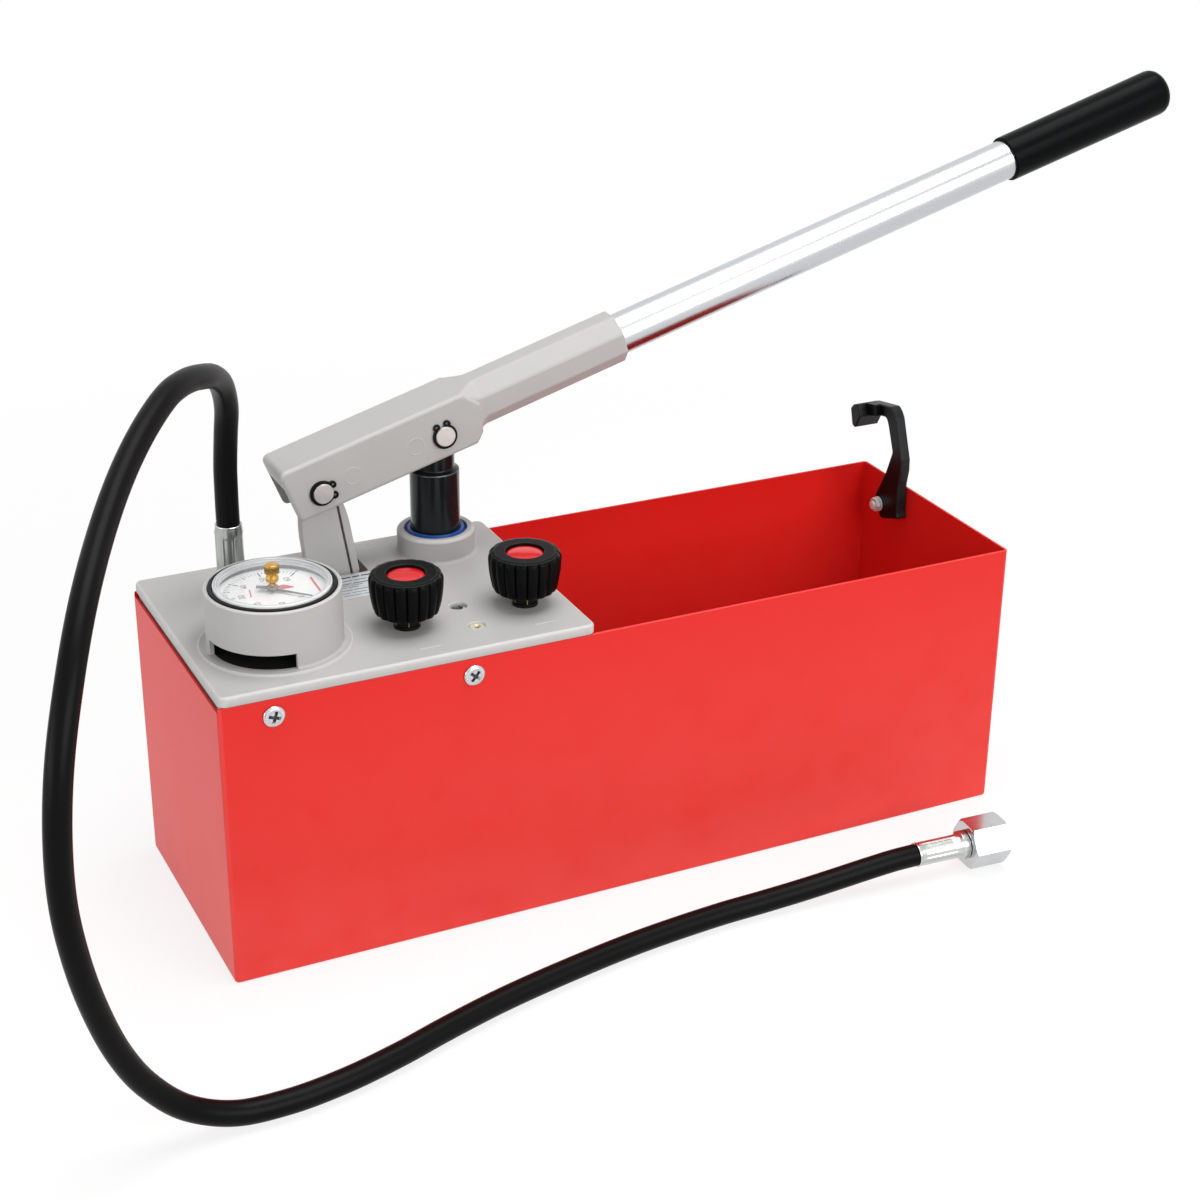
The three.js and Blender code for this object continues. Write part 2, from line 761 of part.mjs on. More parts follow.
// The gauge stands in its own group, whose height zero is the plate's top face
function makeGauge() {
  const caseTop = caseRise + caseHeight;
  const seatZ = lensUnder - fitGap;
  const caseInner = caseRadius - caseWall;
  const gaugeCase = turned([
    [0, caseRise],
    [caseRadius, caseRise],
    [caseRadius, caseTop],
    [caseInner, caseTop],
    [caseInner, seatZ],
    [lensSeatRadius, seatZ],
    [lensSeatRadius, caseRise + caseFloor],
    [0, caseRise + caseFloor],
  ]);
  const stemTop = caseRise + caseFloor + stemRadius;
  const caseBored = cut(gaugeCase, disc(stemRadius + fitGap, caseRise - cutOverrun, stemTop, smallSides));
  const stem = turned([
    [0, -plateThick - stemBelow],
    [stemRadius, -plateThick - stemBelow],
    [stemRadius, fitGap],
    [stemRadius * 2, fitGap],
    [stemRadius * 2, caseRise - fitGap],
    [stemRadius, caseRise - fitGap],
    [stemRadius, stemTop],
    [0, stemTop],
  ], smallSides);
  const lens = ring(lensRadius, resetNeck + fitGap, lensUnder, lensTop);
  const dialRadius = lensSeatRadius - fitGap;
  const dial = ring(dialRadius, arborRadius + fitGap, dialTop - dialThick, dialTop);
  const reset = turned([
    [0, dragUnder],
    [resetNeck, dragUnder],
    [resetNeck, lensTop + resetNeckRise],
    [resetRadius, lensTop + resetNeckRise],
    [resetRadius, lensTop + resetNeckRise + resetHeight],
    [0, lensTop + resetNeckRise + resetHeight],
  ], smallSides);
  const drag = join(
    ring(pointerHub, resetNeck + fitGap, dragUnder, dragUnder + pointerThick, smallSides),
    cut(
      needle(dragLength, dragTail, dragUnder, dragTurn),
      disc(resetNeck + fitGap, dragUnder - cutOverrun, dragUnder + cutOverrun, smallSides),
    ),
  );
  const hand = join(
    disc(pointerHub, pointerUnder, pointerTop, smallSides),
    needle(pointerLength, pointerTail, pointerUnder, pointerTurn),
    disc(arborRadius, pointerTop - arborDepth, pointerTop, smallSides),
  );
  return groupAt(
    [gaugeX, gaugeAcross, plateTop],
    piece('gauge_case', caseBored, blackPlastic),
    piece('gauge_stem', stem, brass),
    piece('bourdon_tube', bourdonShape(), brass),
    piece('gauge_movement', movementShape(), brass),
    piece('gauge_dial', dial, dialWhite),
    piece('gauge_pointer', hand, blackPlastic),
    piece('drag_pointer', drag, pointerRed),
    piece('gauge_lens', lens, clearLens),
    piece('reset_knob', reset, brass),
  );
}

// A tapered needle over the dial, turned from +X by an angle in degrees
function needle(length, tail, under, turn) {
  const half = pointerWidth / 2;
  const tip = [[length, -half / 3], [length, half / 3]];
  const shape = outline([[-tail, -half], [0, -half], ...tip, [0, half], [-tail, half]]);
  return raised(shape, under, under + pointerThick).rotateZ(THREE.MathUtils.degToRad(turn));
}

// The bent pressure tube: an open ring with a straight foot that ends at the movement
function bourdonShape() {
  const start = bourdonTube / bourdonRadius;
  const sweep = Math.PI * 2 * bourdonSweepShare;
  const shape = new THREE.Shape();
  shape.absarc(0, 0, bourdonRadius + bourdonTube, start, start + sweep, false);
  shape.absarc(0, 0, bourdonRadius - bourdonTube, start + sweep, start, true);
  const middle = caseRise + caseFloor + stemRadius;
  const heights = [middle - bourdonTube, middle + bourdonTube];
  const foot = block([movementLength / 2 + fitGap, bourdonRadius], [0, bourdonTube * 2], heights);
  return join(raised(shape, ...heights), foot);
}

function movementShape() {
  const long = movementLength / 2;
  const side = movementWidth / 2;
  const low = caseRise + caseFloor + fitGap;
  const high = dialTop - dialThick - fitGap;
  const frame = block([-long, long], [-side, side], [low, high]);
  const stemRoomTop = caseRise + caseFloor + stemRadius + fitGap;
  const arborRoomLow = pointerTop - arborDepth - fitGap;
  const stemRoom = disc(stemRadius + fitGap, low - cutOverrun, stemRoomTop, smallSides);
  const arborRoom = disc(arborRadius + fitGap, arborRoomLow, high + cutOverrun, smallSides);
  return cut(frame, stemRoom, arborRoom);
}

// Cylinder, bush, seal and suction fittings, in a group at the pump's axis
function makePumpBarrel() {
  const floorTop = cylinderBottom + cylinderFloor;
  const barrel = turned([
    [suctionSpigot + fitGap, cylinderBottom],
    [cylinderRadius, cylinderBottom],
    [cylinderRadius, cylinderTop],
    [cylinderBore, cylinderTop],
    [cylinderBore, floorTop],
    [suctionSpigot + fitGap, floorTop],
    [suctionSpigot + fitGap, cylinderBottom],
  ]);
  const ringOuter = collarBore - fitGap;
  const ringInner = pistonRadius + fitGap;
  const sealTop = plateTop + collarHeight + sealProud;
  const sealLow = sealTop - sealHeight;
  const seal = turned([
    [ringInner, sealLow],
    [ringOuter, sealLow],
    [ringOuter, sealTop - sealLip],
    [ringOuter - sealLip, sealTop],
    [ringInner + sealLip, sealTop],
    [ringInner, sealTop - sealLip],
    [ringInner, sealLow],
  ]);
  const bush = ring(ringOuter, ringInner, plateUnder, sealLow - fitGap);
  return groupAt(
    [pumpX, pumpAcross, 0],
    piece('pump_cylinder', barrel, zincSteel),
    piece('guide_bush', bush, brass),
    piece('wiper_seal', seal, sealBlue),
    ...makeSuction(),
  );
}

function makeSuction() {
  const flangeTop = cylinderBottom - fitGap;
  const flangeLow = flangeTop - suctionFlange;
  const seatZ = flangeTop - suctionFlange / 2;
  const cageRadius = suctionBallRadius + ballSide;
  const ballZ = seatZ + ballOverSeat(suctionBallRadius, seatRadius);
  const cageHigh = ballZ + suctionBallRadius + suctionLift + fitGap;
  const bodyTop = cageHigh + suctionFlange / 2;
  const body = turned([
    [seatRadius, flangeLow - suctionNose],
    [strainerRadius - strainerWall - fitGap, flangeLow - suctionNose],
    [strainerRadius - strainerWall - fitGap, flangeLow],
    [suctionFlangeRadius, flangeLow],
    [suctionFlangeRadius, flangeTop],
    [suctionSpigot, flangeTop],
    [suctionSpigot, bodyTop],
    [cageTop, bodyTop],
    [cageTop, cageHigh],
    [cageRadius, cageHigh],
    [cageRadius, seatZ],
    [seatRadius, seatZ],
    [seatRadius, flangeLow - suctionNose],
  ], smallSides);
  const ball = piece(
    'suction_ball',
    new THREE.SphereGeometry(suctionBallRadius, smallSides, smallSides / 2),
    zincSteel,
  );
  ball.position.z = ballZ;
  const cupTop = flangeLow - fitGap;
  const cupLow = cupTop - strainerLength;
  const cup = turned([
    [0, cupLow],
    [strainerRadius, cupLow],
    [strainerRadius, cupTop],
    [strainerRadius - strainerWall, cupTop],
    [strainerRadius - strainerWall, cupLow + strainerWall],
    [0, cupLow + strainerWall],
  ], smallSides);
  const slots = [];
  for (let at = 0; at < strainerSlots; at += 1) {
    const slot = block(
      [strainerRadius / 2, strainerRadius + cutOverrun],
      [-strainerSlotWidth / 2, strainerSlotWidth / 2],
      [cupLow + strainerSlotRise, cupLow + strainerSlotRise + strainerSlotHeight],
    );
    slots.push(slot.rotateZ(at * Math.PI * 2 / strainerSlots));
  }
  return [
    piece('suction_valve_body', body, brass),
    ball,
    piece('suction_strainer', cut(cup, ...slots), blackPlastic),
  ];
}

// The piston, its height zero at the pin that joins it to the lever
function makePiston() {
  const bevel = pistonRadius - neckRadius;
  const grooveLow = -pistonReach + pistonSealAbove;
  const grooveRadius = pistonRadius - pistonSealDeep - fitGap;
  const round = turned([
    [0, -pistonReach],
    [pistonRadius, -pistonReach],
    [pistonRadius, grooveLow - fitGap],
    [grooveRadius, grooveLow - fitGap],
    [grooveRadius, grooveLow + pistonSealHeight + fitGap],
    [pistonRadius, grooveLow + pistonSealHeight + fitGap],
    [pistonRadius, -shoulderBelowPin - bevel],
    [neckRadius, -shoulderBelowPin],
    [neckRadius, neckRadius],
    [0, neckRadius],
  ]);
  const dome = new THREE.Shape();
  dome.moveTo(-pistonRadius, -pistonReach);
  dome.lineTo(pistonRadius, -pistonReach);
  dome.lineTo(pistonRadius, -shoulderBelowPin);
  dome.lineTo(neckRadius, -shoulderBelowPin);
  dome.absarc(0, 0, neckRadius, 0, Math.PI);
  dome.lineTo(-neckRadius, -shoulderBelowPin);
  dome.lineTo(-pistonRadius, -shoulderBelowPin);
  const topped = common(round, alongY(dome, -pistonRadius, pistonRadius, smallSides));
  const eye = layAlongY(disc(leverPinRadius + fitGap, -pistonRadius, pistonRadius, smallSides));
  const sealOuter = cylinderBore - fitGap;
  const sealInner = pistonRadius - pistonSealDeep;
  const seal = ring(sealOuter, sealInner, grooveLow, grooveLow + pistonSealHeight);
  return groupAt(
    [pumpX, pumpAcross, pinZ],
    piece('piston', cut(topped, eye), darkSteel),
    piece('piston_seal', seal, blackRubber),
  );
}

// The fulcrum link, leaning from its lower pin to the lever's fulcrum pin
function makeLink() {
  const near = -linkWidth / 2;
  const far = linkWidth / 2;
  const body = join(
    alongY(linkOutline(), near, near + linkPlate),
    block([-linkRib / 2, linkRib / 2], [near + linkPlate / 2, far], [0, linkLength]),
    layAlongY(disc(linkFoot, near, far)),
    eyeBoss(near, far),
  );
  const grooveX = linkShoulder - linkGrooveInset;
  const groove = block(
    [grooveX - linkGroove / 2, grooveX + linkGroove / 2],
    [near - cutOverrun, near + linkGrooveDepth],
    [linkWaistUp / 2, linkShoulderUp],
  );
  const foot = layAlongY(disc(linkPinRadius + fitGap, near - cutOverrun, far + cutOverrun, smallSides));
  const shape = cut(body, groove, foot, eyeSlot());
  const link = groupAt([linkX, pumpAcross, linkZ], piece('link', shape, castGrey));
  link.rotation.y = linkLean;
  const pinHalf = linkWidth / 2 + lugGap + lugThick - fitGap;
  const pin = piece('link_pin', layAlongY(disc(linkPinRadius, -pinHalf, pinHalf, smallSides)), zincSteel);
  pin.position.set(linkX, pumpAcross, linkZ);
  return [link, pin];
}

function linkOutline() {
  const shape = new THREE.Shape();
  shape.absarc(0, 0, linkFoot, Math.PI, Math.PI * 2);
  shape.lineTo(linkWaist, linkWaistUp);
  shape.lineTo(linkShoulder, linkShoulderUp);
  shape.lineTo(linkEye, linkLength);
  shape.lineTo(-linkEye, linkLength);
  shape.lineTo(-linkShoulder, linkShoulderUp);
  shape.lineTo(-linkWaist, linkWaistUp);
  return shape;
}

// A flat-sided round bar that covers the pin's path in the link's eye
function eyePath(radius, near, far) {
  const shape = new THREE.Shape();
  const turn = Math.atan2(eyeTravelUp + eyeDip, eyeTravelAcross);
  const reach = Math.hypot(eyeTravelAcross, eyeTravelUp + eyeDip);
  shape.absarc(0, 0, radius, Math.PI / 2, Math.PI * 3 / 2);
  shape.absarc(reach, 0, radius, -Math.PI / 2, Math.PI / 2);
  return alongY(shape, near, far, smallSides / 2)
    .rotateY(-turn)
    .translate(0, 0, -eyeDip)
    .rotateY(-linkLean)
    .translate(0, 0, linkLength);
}

function eyeBoss(near, far) {
  return eyePath(linkEye, near, far);
}

function eyeSlot() {
  const half = linkWidth / 2 + cutOverrun;
  return eyePath(leverPinRadius + fitGap + eyeSlack, -half, half);
}

// The lever: X along the handle, its origin at the piston's pin
function makeLever() {
  const lever = groupAt(
    [pumpX, pumpAcross, pinZ],
    makeLeverCasting(),
    ...makeHandle(),
    ...makePinSet('piston', [0, 0], pistonClipTurn),
    ...makePinSet('fulcrum', [-fulcrumReach, -fulcrumDrop], fulcrumClipTurn),
  );
  lever.rotation.y = -leverTurn;
  return lever;
}

function makeLeverCasting() {
  const half = castingWidth / 2;
  const side = outline([
    [-castingBack, castingTopBack],
    [-castingBackLow, -castingBottomBack],
    [cheekHeel, -cheekHeelDown],
    [cheekChin, -cheekChinDown],
    [cheekNose, cheekNoseUp],
    [castingFront, castingTopFront],
  ]);
  const octagon = layAlongX(flatsBar(socketSides, socketApothem * 2, channelFront, socketEnd))
    .translate(0, 0, socketUp);
  const channelHalf = channelWidth / 2;
  const low = -cheekHeelDown - cutOverrun;
  const back = -castingBack - cutOverrun;
  const channel = block(
    [-castingBack + endWallThick, channelFront],
    [-channelHalf, channelHalf],
    [low, channelRoof],
  );
  const mouth = block([back, 0], [-channelHalf, channelHalf], [low, endWallLow]);
  const bore = layAlongX(disc(tubeRadius + fitGap, tubeStart - fitGap, socketEnd + cutOverrun))
    .translate(0, 0, socketUp);
  const pinBore = () => layAlongY(disc(leverPinRadius + fitGap, -castingWidth, castingWidth, smallSides));
  const body = join(alongY(side, -half, half), octagon);
  const shape = cut(
    body, channel, mouth, bore,
    pinBore(),
    pinBore().translate(-fulcrumReach, 0, -fulcrumDrop),
  );
  return piece('lever_casting', shape, castGrey);
}

function makeHandle() {
  const tube = layAlongX(ring(tubeRadius, tubeRadius - tubeWall, tubeStart, tubeEnd));
  const bore = tubeRadius + fitGap;
  const grip = layAlongX(turned([
    [bore, gripStart],
    [gripStartRadius, gripStart],
    [gripEndRadius, gripEnd - gripRound],
    [gripEndRadius - gripRound / 4, gripEnd - gripRound / 3],
    [gripEndRadius - gripRound, gripEnd],
    [0, gripEnd],
    [0, tubeEnd + fitGap],
    [bore, tubeEnd + fitGap],
    [bore, gripStart],
  ]));
  const handleTube = piece('handle_tube', tube, zincSteel);
  const handleGrip = piece('handle_grip', grip, blackPlastic);
  handleTube.position.z = socketUp;
  handleGrip.position.z = socketUp;
  return [handleTube, handleGrip];
}

// A pin through both cheeks with a retaining ring at each end
function makePinSet(name, [x, z], clipTurn) {
  const cheek = castingWidth / 2;
  const grooveIn = cheek;
  const grooveOut = cheek + clipThick + fitGap * 2;
  const end = cheek + pinProud;
  const profile = [
    [0, -end], [leverPinRadius, -end], [leverPinRadius, -grooveOut], [clipGroove, -grooveOut],
    [clipGroove, -grooveIn], [leverPinRadius, -grooveIn], [leverPinRadius, grooveIn],
    [clipGroove, grooveIn], [clipGroove, grooveOut], [leverPinRadius, grooveOut],
    [leverPinRadius, end], [0, end],
  ];
  const pin = piece(`${name}_pin`, layAlongY(turned(profile, smallSides)), zincSteel);
  pin.position.set(x, 0, z);
  const clips = [['front', -1], ['rear', 1]].map(([place, side]) => {
    const near = cheek + fitGap;
    const [low, high] = side < 0 ? [-near - clipThick, -near] : [near, near + clipThick];
    const clip = piece(`${name}_circlip_${place}`, clipShape(low, high, clipTurn), darkSteel);
    clip.position.set(x, 0, z);
    return clip;
  });
  return [pin, ...clips];
}

// An open ring with a round lug on each side of its mouth
function clipShape(low, high, clipTurn) {
  const inner = clipGroove + fitGap;
  const loop = layAlongY(ring(clipOuter, inner, low, high, smallSides));
  const lugTurn = Math.asin((clipMouth / 2 + clipLugRadius) / clipLug);
  const lugs = [-1, 1].map((side) => {
    const middle = clipLug - clipLugRadius;
    return layAlongY(disc(clipLugRadius, low, high, smallSides / 2))
      .translate(middle * Math.cos(lugTurn), 0, side * (clipMouth / 2 + clipLugRadius));
  });
  const through = [low - cutOverrun, high + cutOverrun];
  const mouth = block([0, clipLug + cutOverrun], through, [-clipMouth / 2, clipMouth / 2]);
  const hole = layAlongY(disc(inner, ...through, smallSides));
  return cut(join(loop, ...lugs), mouth, hole).rotate([0, -clipTurn, 0]);
}

function makeValve(name, x) {
  const seat = valveSeatZ() - plateTop;
  const discLow = seat + fitGap;
  const discTop = discLow + discThick;
  const knobTop = knobRise + knobHeight;
  const capTop = knobTop - capDrop;
  const sealDisc = ring(discRadius, arborRadius, discLow, discTop, smallSides);
  const gland = turned([
    [spindleRadius + fitGap, -glandDepth],
    [glandThread, -glandDepth],
    [glandThread, fitGap],
    [glandRadius, fitGap],
    [glandRadius, glandHeight],
    [spindleRadius + fitGap, glandHeight],
    [spindleRadius + fitGap, -glandDepth],
  ], smallSides);
  const spindle = disc(spindleRadius, discTop + fitGap, knobTop - capThick - knobRim, smallSides);
  return groupAt(
    [x, valveAcross, plateTop],
    piece(`valve_disc_${name}`, sealDisc, blackRubber),
    piece(`gland_${name}`, gland, darkSteel),
    piece(`valve_spindle_${name}`, spindle, brass),
    piece(`knob_${name}`, knobShape(), blackPlastic),
    piece(`knob_cap_${name}`, disc(capRadius, capTop - capThick, capTop), capRed),
  );
}

// A tapered knob whose rim goes in and out with its flutes
function knobShape() {
  const top = knobRise + knobHeight;
  const shoulder = top - knobShoulder;
  const seat = top - capDrop - capThick - fitGap;
  const bore = spindleRadius + fitGap;
  const blind = top - capThick - knobRim + fitGap;
  const profile = [
    [bore, knobRise],
    [knobBottomRadius - knobRim, knobRise],
    [knobBottomRadius, knobRise + knobRim],
    [knobTopRadius, shoulder],
    [knobTopRadius - knobRim, top],
    [capRadius + fitGap, top],
    [capRadius + fitGap, seat],
    [0, seat],
    [0, blind],
    [bore, blind],
    [bore, knobRise],
  ];
  const geometry = turned(profile, knobFlutes * fluteSteps);
  const places = geometry.attributes.position;
  const at = new THREE.Vector3();
  for (let i = 0; i < places.count; i += 1) {
    at.fromBufferAttribute(places, i);
    const radius = Math.hypot(at.x, at.y);
    if (radius < knobBottomRadius - knobRim / 2) continue;
    const wave = (1 - Math.cos(knobFlutes * Math.atan2(at.y, at.x))) / 2;
    const scale = (radius - fluteDepth * wave) / radius;
    places.setXYZ(i, at.x * scale, at.y * scale, at.z);
  }
  return geometry;
}

// The outlet on the cover: adapter with its hose tail, and the ferrule crimped round the hose
function makeOutlet() {
  const hexTop = fitGap + adapterHex;
  const neckTop = hexTop + adapterNeckRise;
  const low = -plateThick - adapterDepth;
  const tail = hoseBore - fitGap;
  const adapter = join(
    disc(adapterThread, low, fitGap + adapterHex / 2, smallSides),
    flatsBar(hexSides, adapterFlats, fitGap, hexTop),
    disc(adapterNeck, hexTop - adapterHex / 2, neckTop, smallSides),
    disc(tail, hexTop, ferruleTop - ferruleTaper, smallSides),
  );
  const ferrule = turned([
    [hoseBore, neckTop + fitGap],
    [ferruleWide, neckTop + fitGap],
    [ferruleWide, ferruleTop - ferruleTaper],
    [ferruleSlim, ferruleTop],
    [hoseBore, ferruleTop],
    [hoseBore, neckTop + fitGap],
  ], smallSides);
  return groupAt(
    [outletX, outletAcross, plateTop],
    piece('hose_adapter', adapter, zincSteel),
    piece('hose_ferrule_pump', ferrule, zincSteel),
  );
}

// The hose, whose hand-chosen route starts at the outlet and moves with it, less and less
// toward the free end
function makeHose() {
  const yaw = THREE.MathUtils.degToRad(endYaw);
  const start = new THREE.Vector3(outletX, outletAcross, plateTop + ferruleTop + fitGap);
  const end = new THREE.Vector3(...endPlace);
  end.x -= fitGap * Math.cos(yaw);
  end.y -= fitGap * Math.sin(yaw);
  const shift = start.clone().sub(new THREE.Vector3(...hoseRoute[0]));
  const lastStep = hoseRoute.length - 1;
  const route = hoseRoute.map((place, at) => (
    new THREE.Vector3(...place).addScaledVector(shift, (lastStep - at) / lastStep)
  ));
  const path = new THREE.CatmullRomCurve3([...route, end], false, 'centripetal');
  const section = new THREE.Shape();
  for (let at = 0; at < hoseSides; at += 1) {
    const turn = at * Math.PI * 2 / hoseSides;
    const place = [hoseRadius * Math.cos(turn), hoseRadius * Math.sin(turn)];
    if (at === 0) section.moveTo(...place);
    else section.lineTo(...place);
  }
  const options = { steps: hoseSteps, extrudePath: path, bevelEnabled: false };
  return piece('hose', new THREE.ExtrudeGeometry(section, options), blackRubber);
}

// The free end: ferrule, hose tail and the union nut that turns on it, along local X
function makeHoseEnd() {
  const nutStart = ferruleLength + fitGap;
  const nutEnd = nutStart + nutLength;
  const flangeStart = nutStart + nutBack + fitGap;
  const flangeEnd = flangeStart + tailFlangeThick;
  const tail = hoseBore - fitGap;
  const bore = tail / 2;
  const ferrule = layAlongX(turned([
    [hoseBore, 0],
    [ferruleSlim, 0],
    [ferruleSlim, ferruleLength - ferruleRingWidth - (ferruleRing - ferruleSlim)],
    [ferruleRing, ferruleLength - ferruleRingWidth],
    [ferruleRing, ferruleLength],
    [hoseBore, ferruleLength],
    [hoseBore, 0],
  ], smallSides));
  const nipple = layAlongX(turned([
    [bore, ferruleTaper],
    [tail, ferruleTaper],
    [tail, nutStart],
    [nutBackBore - fitGap, nutStart],
    [nutBackBore - fitGap, flangeStart],
    [tailFlange, flangeStart],
    [tailFlange, flangeEnd],
    [tailNoseRadius, flangeEnd + tailNose],
    [bore, flangeEnd + tailNose],
    [bore, ferruleTaper],
  ], smallSides));
  const corner = nutFlats / 2 / Math.cos(Math.PI / hexSides);
  const rounded = turned([
    [0, nutStart],
    [corner - nutChamfer, nutStart],
    [corner, nutStart + nutChamfer],
    [corner, nutEnd - nutChamfer],
    [corner - nutChamfer, nutEnd],
    [0, nutEnd],
  ]);
  const hollow = turned([
    [0, nutStart - cutOverrun],
    [nutBackBore, nutStart - cutOverrun],
    [nutBackBore, nutStart + nutBack],
    [nutBore, nutStart + nutBack],
    [nutBore, nutEnd + cutOverrun],
    [0, nutEnd + cutOverrun],
  ], smallSides);
  const hex = common(flatsBar(hexSides, nutFlats, nutStart, nutEnd), rounded);
  const nut = layAlongX(piece('', cut(hex, hollow), zincSteel).geometry);
  const end = groupAt(
    endPlace,
    piece('hose_ferrule_end', ferrule, zincSteel),
    piece('hose_nipple', nipple, zincSteel),
    piece('union_nut', nut, zincSteel),
  );
  end.rotation.z = THREE.MathUtils.degToRad(endYaw);
  return end;
}

function hookPart(shares) {
  return outline(shares.map((share) => share.map((value) => value * hookSize)));
}

// The hook that takes the lowered handle, in a group at its screw's axis on the wall's inner face
function makeHook() {
  const back = -fitGap;
  const front = back - hookThick;
  const body = join(
    alongX(hookPart(hookOutlineShares), front, back),
    alongX(hookPart(hookTipShares), back - hookTipThick, back),
    alongX(hookPart(hookRampShares), back - hookRampThick, back),
  );
  const bore = layAlongX(disc(hookScrewRadius + fitGap, front - cutOverrun, back + cutOverrun, smallSides));
  const washerBack = front - fitGap;
  const washerFront = washerBack - hookWasherThick;
  const nutFace = washerFront - fitGap;
  const nutFront = nutFace - hookNutThick;
  const headFace = tankSheet + fitGap;
  const washer = ring(hookWasherRadius, hookScrewRadius + fitGap, washerFront, washerBack, smallSides);
  const nut = cut(
    flatsBar(hexSides, hookNutFlats, nutFront, nutFace),
    disc(hookScrewRadius + fitGap, nutFront - cutOverrun, nutFace + cutOverrun, smallSides),
  );
  const screw = turned([
    [0, nutFront - hookScrewTail],
    [hookScrewRadius, nutFront - hookScrewTail],
    [hookScrewRadius, headFace],
    [hookHeadRadius, headFace],
    [hookHeadRadius - hookHeadHeight / 2, headFace + hookHeadHeight],
    [0, headFace + hookHeadHeight],
  ], smallSides);
  const nutGeometry = piece('', nut, zincSteel).geometry;
  return groupAt(
    [wallFaceX, hookAcross, hookZ],
    piece('hook', cut(body, bore), blackPlastic),
    piece('hook_washer', layAlongX(washer), zincSteel),
    piece('hook_nut', layAlongX(nutGeometry), zincSteel),
    piece('hook_screw', layAlongX(screw), zincSteel),
  );
}

function makePump() {
  const pump = new THREE.Group();
  const [leftValve, rightValve] = valvePlaces();
  pump.add(
    makeTank(),
    ...makeSideScrews(),
    makeCover(),
    ...makePlugs(),
    makeRatingPlate(),
    makeGauge(),
    makeValve('left', leftValve),
    makeValve('right', rightValve),
    makePumpBarrel(),
    makePiston(),
    ...makeLink(),
    makeLever(),
    makeOutlet(),
    makeHose(),
    makeHoseEnd(),
    makeHook(),
  );
  return pump;
}

export default makePump();
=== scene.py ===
"""Looks of the hydrostatic test pump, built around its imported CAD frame.

Sizes are in millimetres in the object's own frame and become metres when a piece is made.
"""

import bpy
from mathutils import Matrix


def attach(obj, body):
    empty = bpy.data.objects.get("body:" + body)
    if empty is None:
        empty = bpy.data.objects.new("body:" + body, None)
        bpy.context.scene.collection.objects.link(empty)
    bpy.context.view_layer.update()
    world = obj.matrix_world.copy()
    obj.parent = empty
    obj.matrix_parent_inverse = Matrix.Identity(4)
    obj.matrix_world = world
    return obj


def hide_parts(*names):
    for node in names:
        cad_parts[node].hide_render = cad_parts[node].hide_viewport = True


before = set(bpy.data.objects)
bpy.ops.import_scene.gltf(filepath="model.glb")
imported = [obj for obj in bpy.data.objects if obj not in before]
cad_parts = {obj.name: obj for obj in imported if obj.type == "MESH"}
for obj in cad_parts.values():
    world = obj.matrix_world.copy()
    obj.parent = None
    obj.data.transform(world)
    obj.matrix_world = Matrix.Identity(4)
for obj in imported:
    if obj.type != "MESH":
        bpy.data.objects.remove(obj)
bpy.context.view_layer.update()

import cmath
import logging
import math
from collections.abc import Callable, Mapping, Sequence
from dataclasses import dataclass, replace
from enum import Enum
from typing import Any, Self

import bmesh
import bpy
from mathutils import Matrix, Vector

LOG = logging.getLogger("test_pump")
MM = 0.001  # a millimetre in metres
TINY = 1e-4  # a length below this counts as none
WEAR_AND_HIGHLIGHT = "wear"  # the mesh attribute that tells how exposed an edge is
ROUND_SIDES = 96  # sides of a turned body
FILLET_STEPS = 5  # steps of a rounded corner
RIM_STEPS = 4  # steps of a rounded rim
GAP = 0.3  # room between neighbouring pieces
SUNK = 0.02  # lift of what stands on the plate, so that no two faces coincide
WHITE = (1.0, 1.0, 1.0, 1.0)

Pair = tuple[float, float]
Corner = tuple[float, ...]
Colour = tuple[float, float, float, float]
Place = tuple[float, float, float]
Wave = Callable[[float, float, float], float]
Item = bpy.types.Object
Socket = bpy.types.NodeSocket


def rgb(red: float, green: float, blue: float) -> Colour:
    """Turn a colour as a screen shows it, 0 to 255, into the linear colour that shaders use.

    Args:
        red: The red share.
        green: The green share.
        blue: The blue share.

    Returns:
        The linear colour with full opacity.
    """
    def linear(value: float) -> float:
        """Undo the screen's curve for one channel."""
        share = value / 255
        return share / 12.92 if share <= 0.04045 else ((share + 0.055) / 1.055) ** 2.4
    return (linear(red), linear(green), linear(blue), 1.0)


def scaled(colour: Colour, share: float) -> Colour:
    """Return a colour made lighter or darker by a share."""
    return tuple(min(1.0, channel * share) for channel in colour[:3]) + (1.0,)


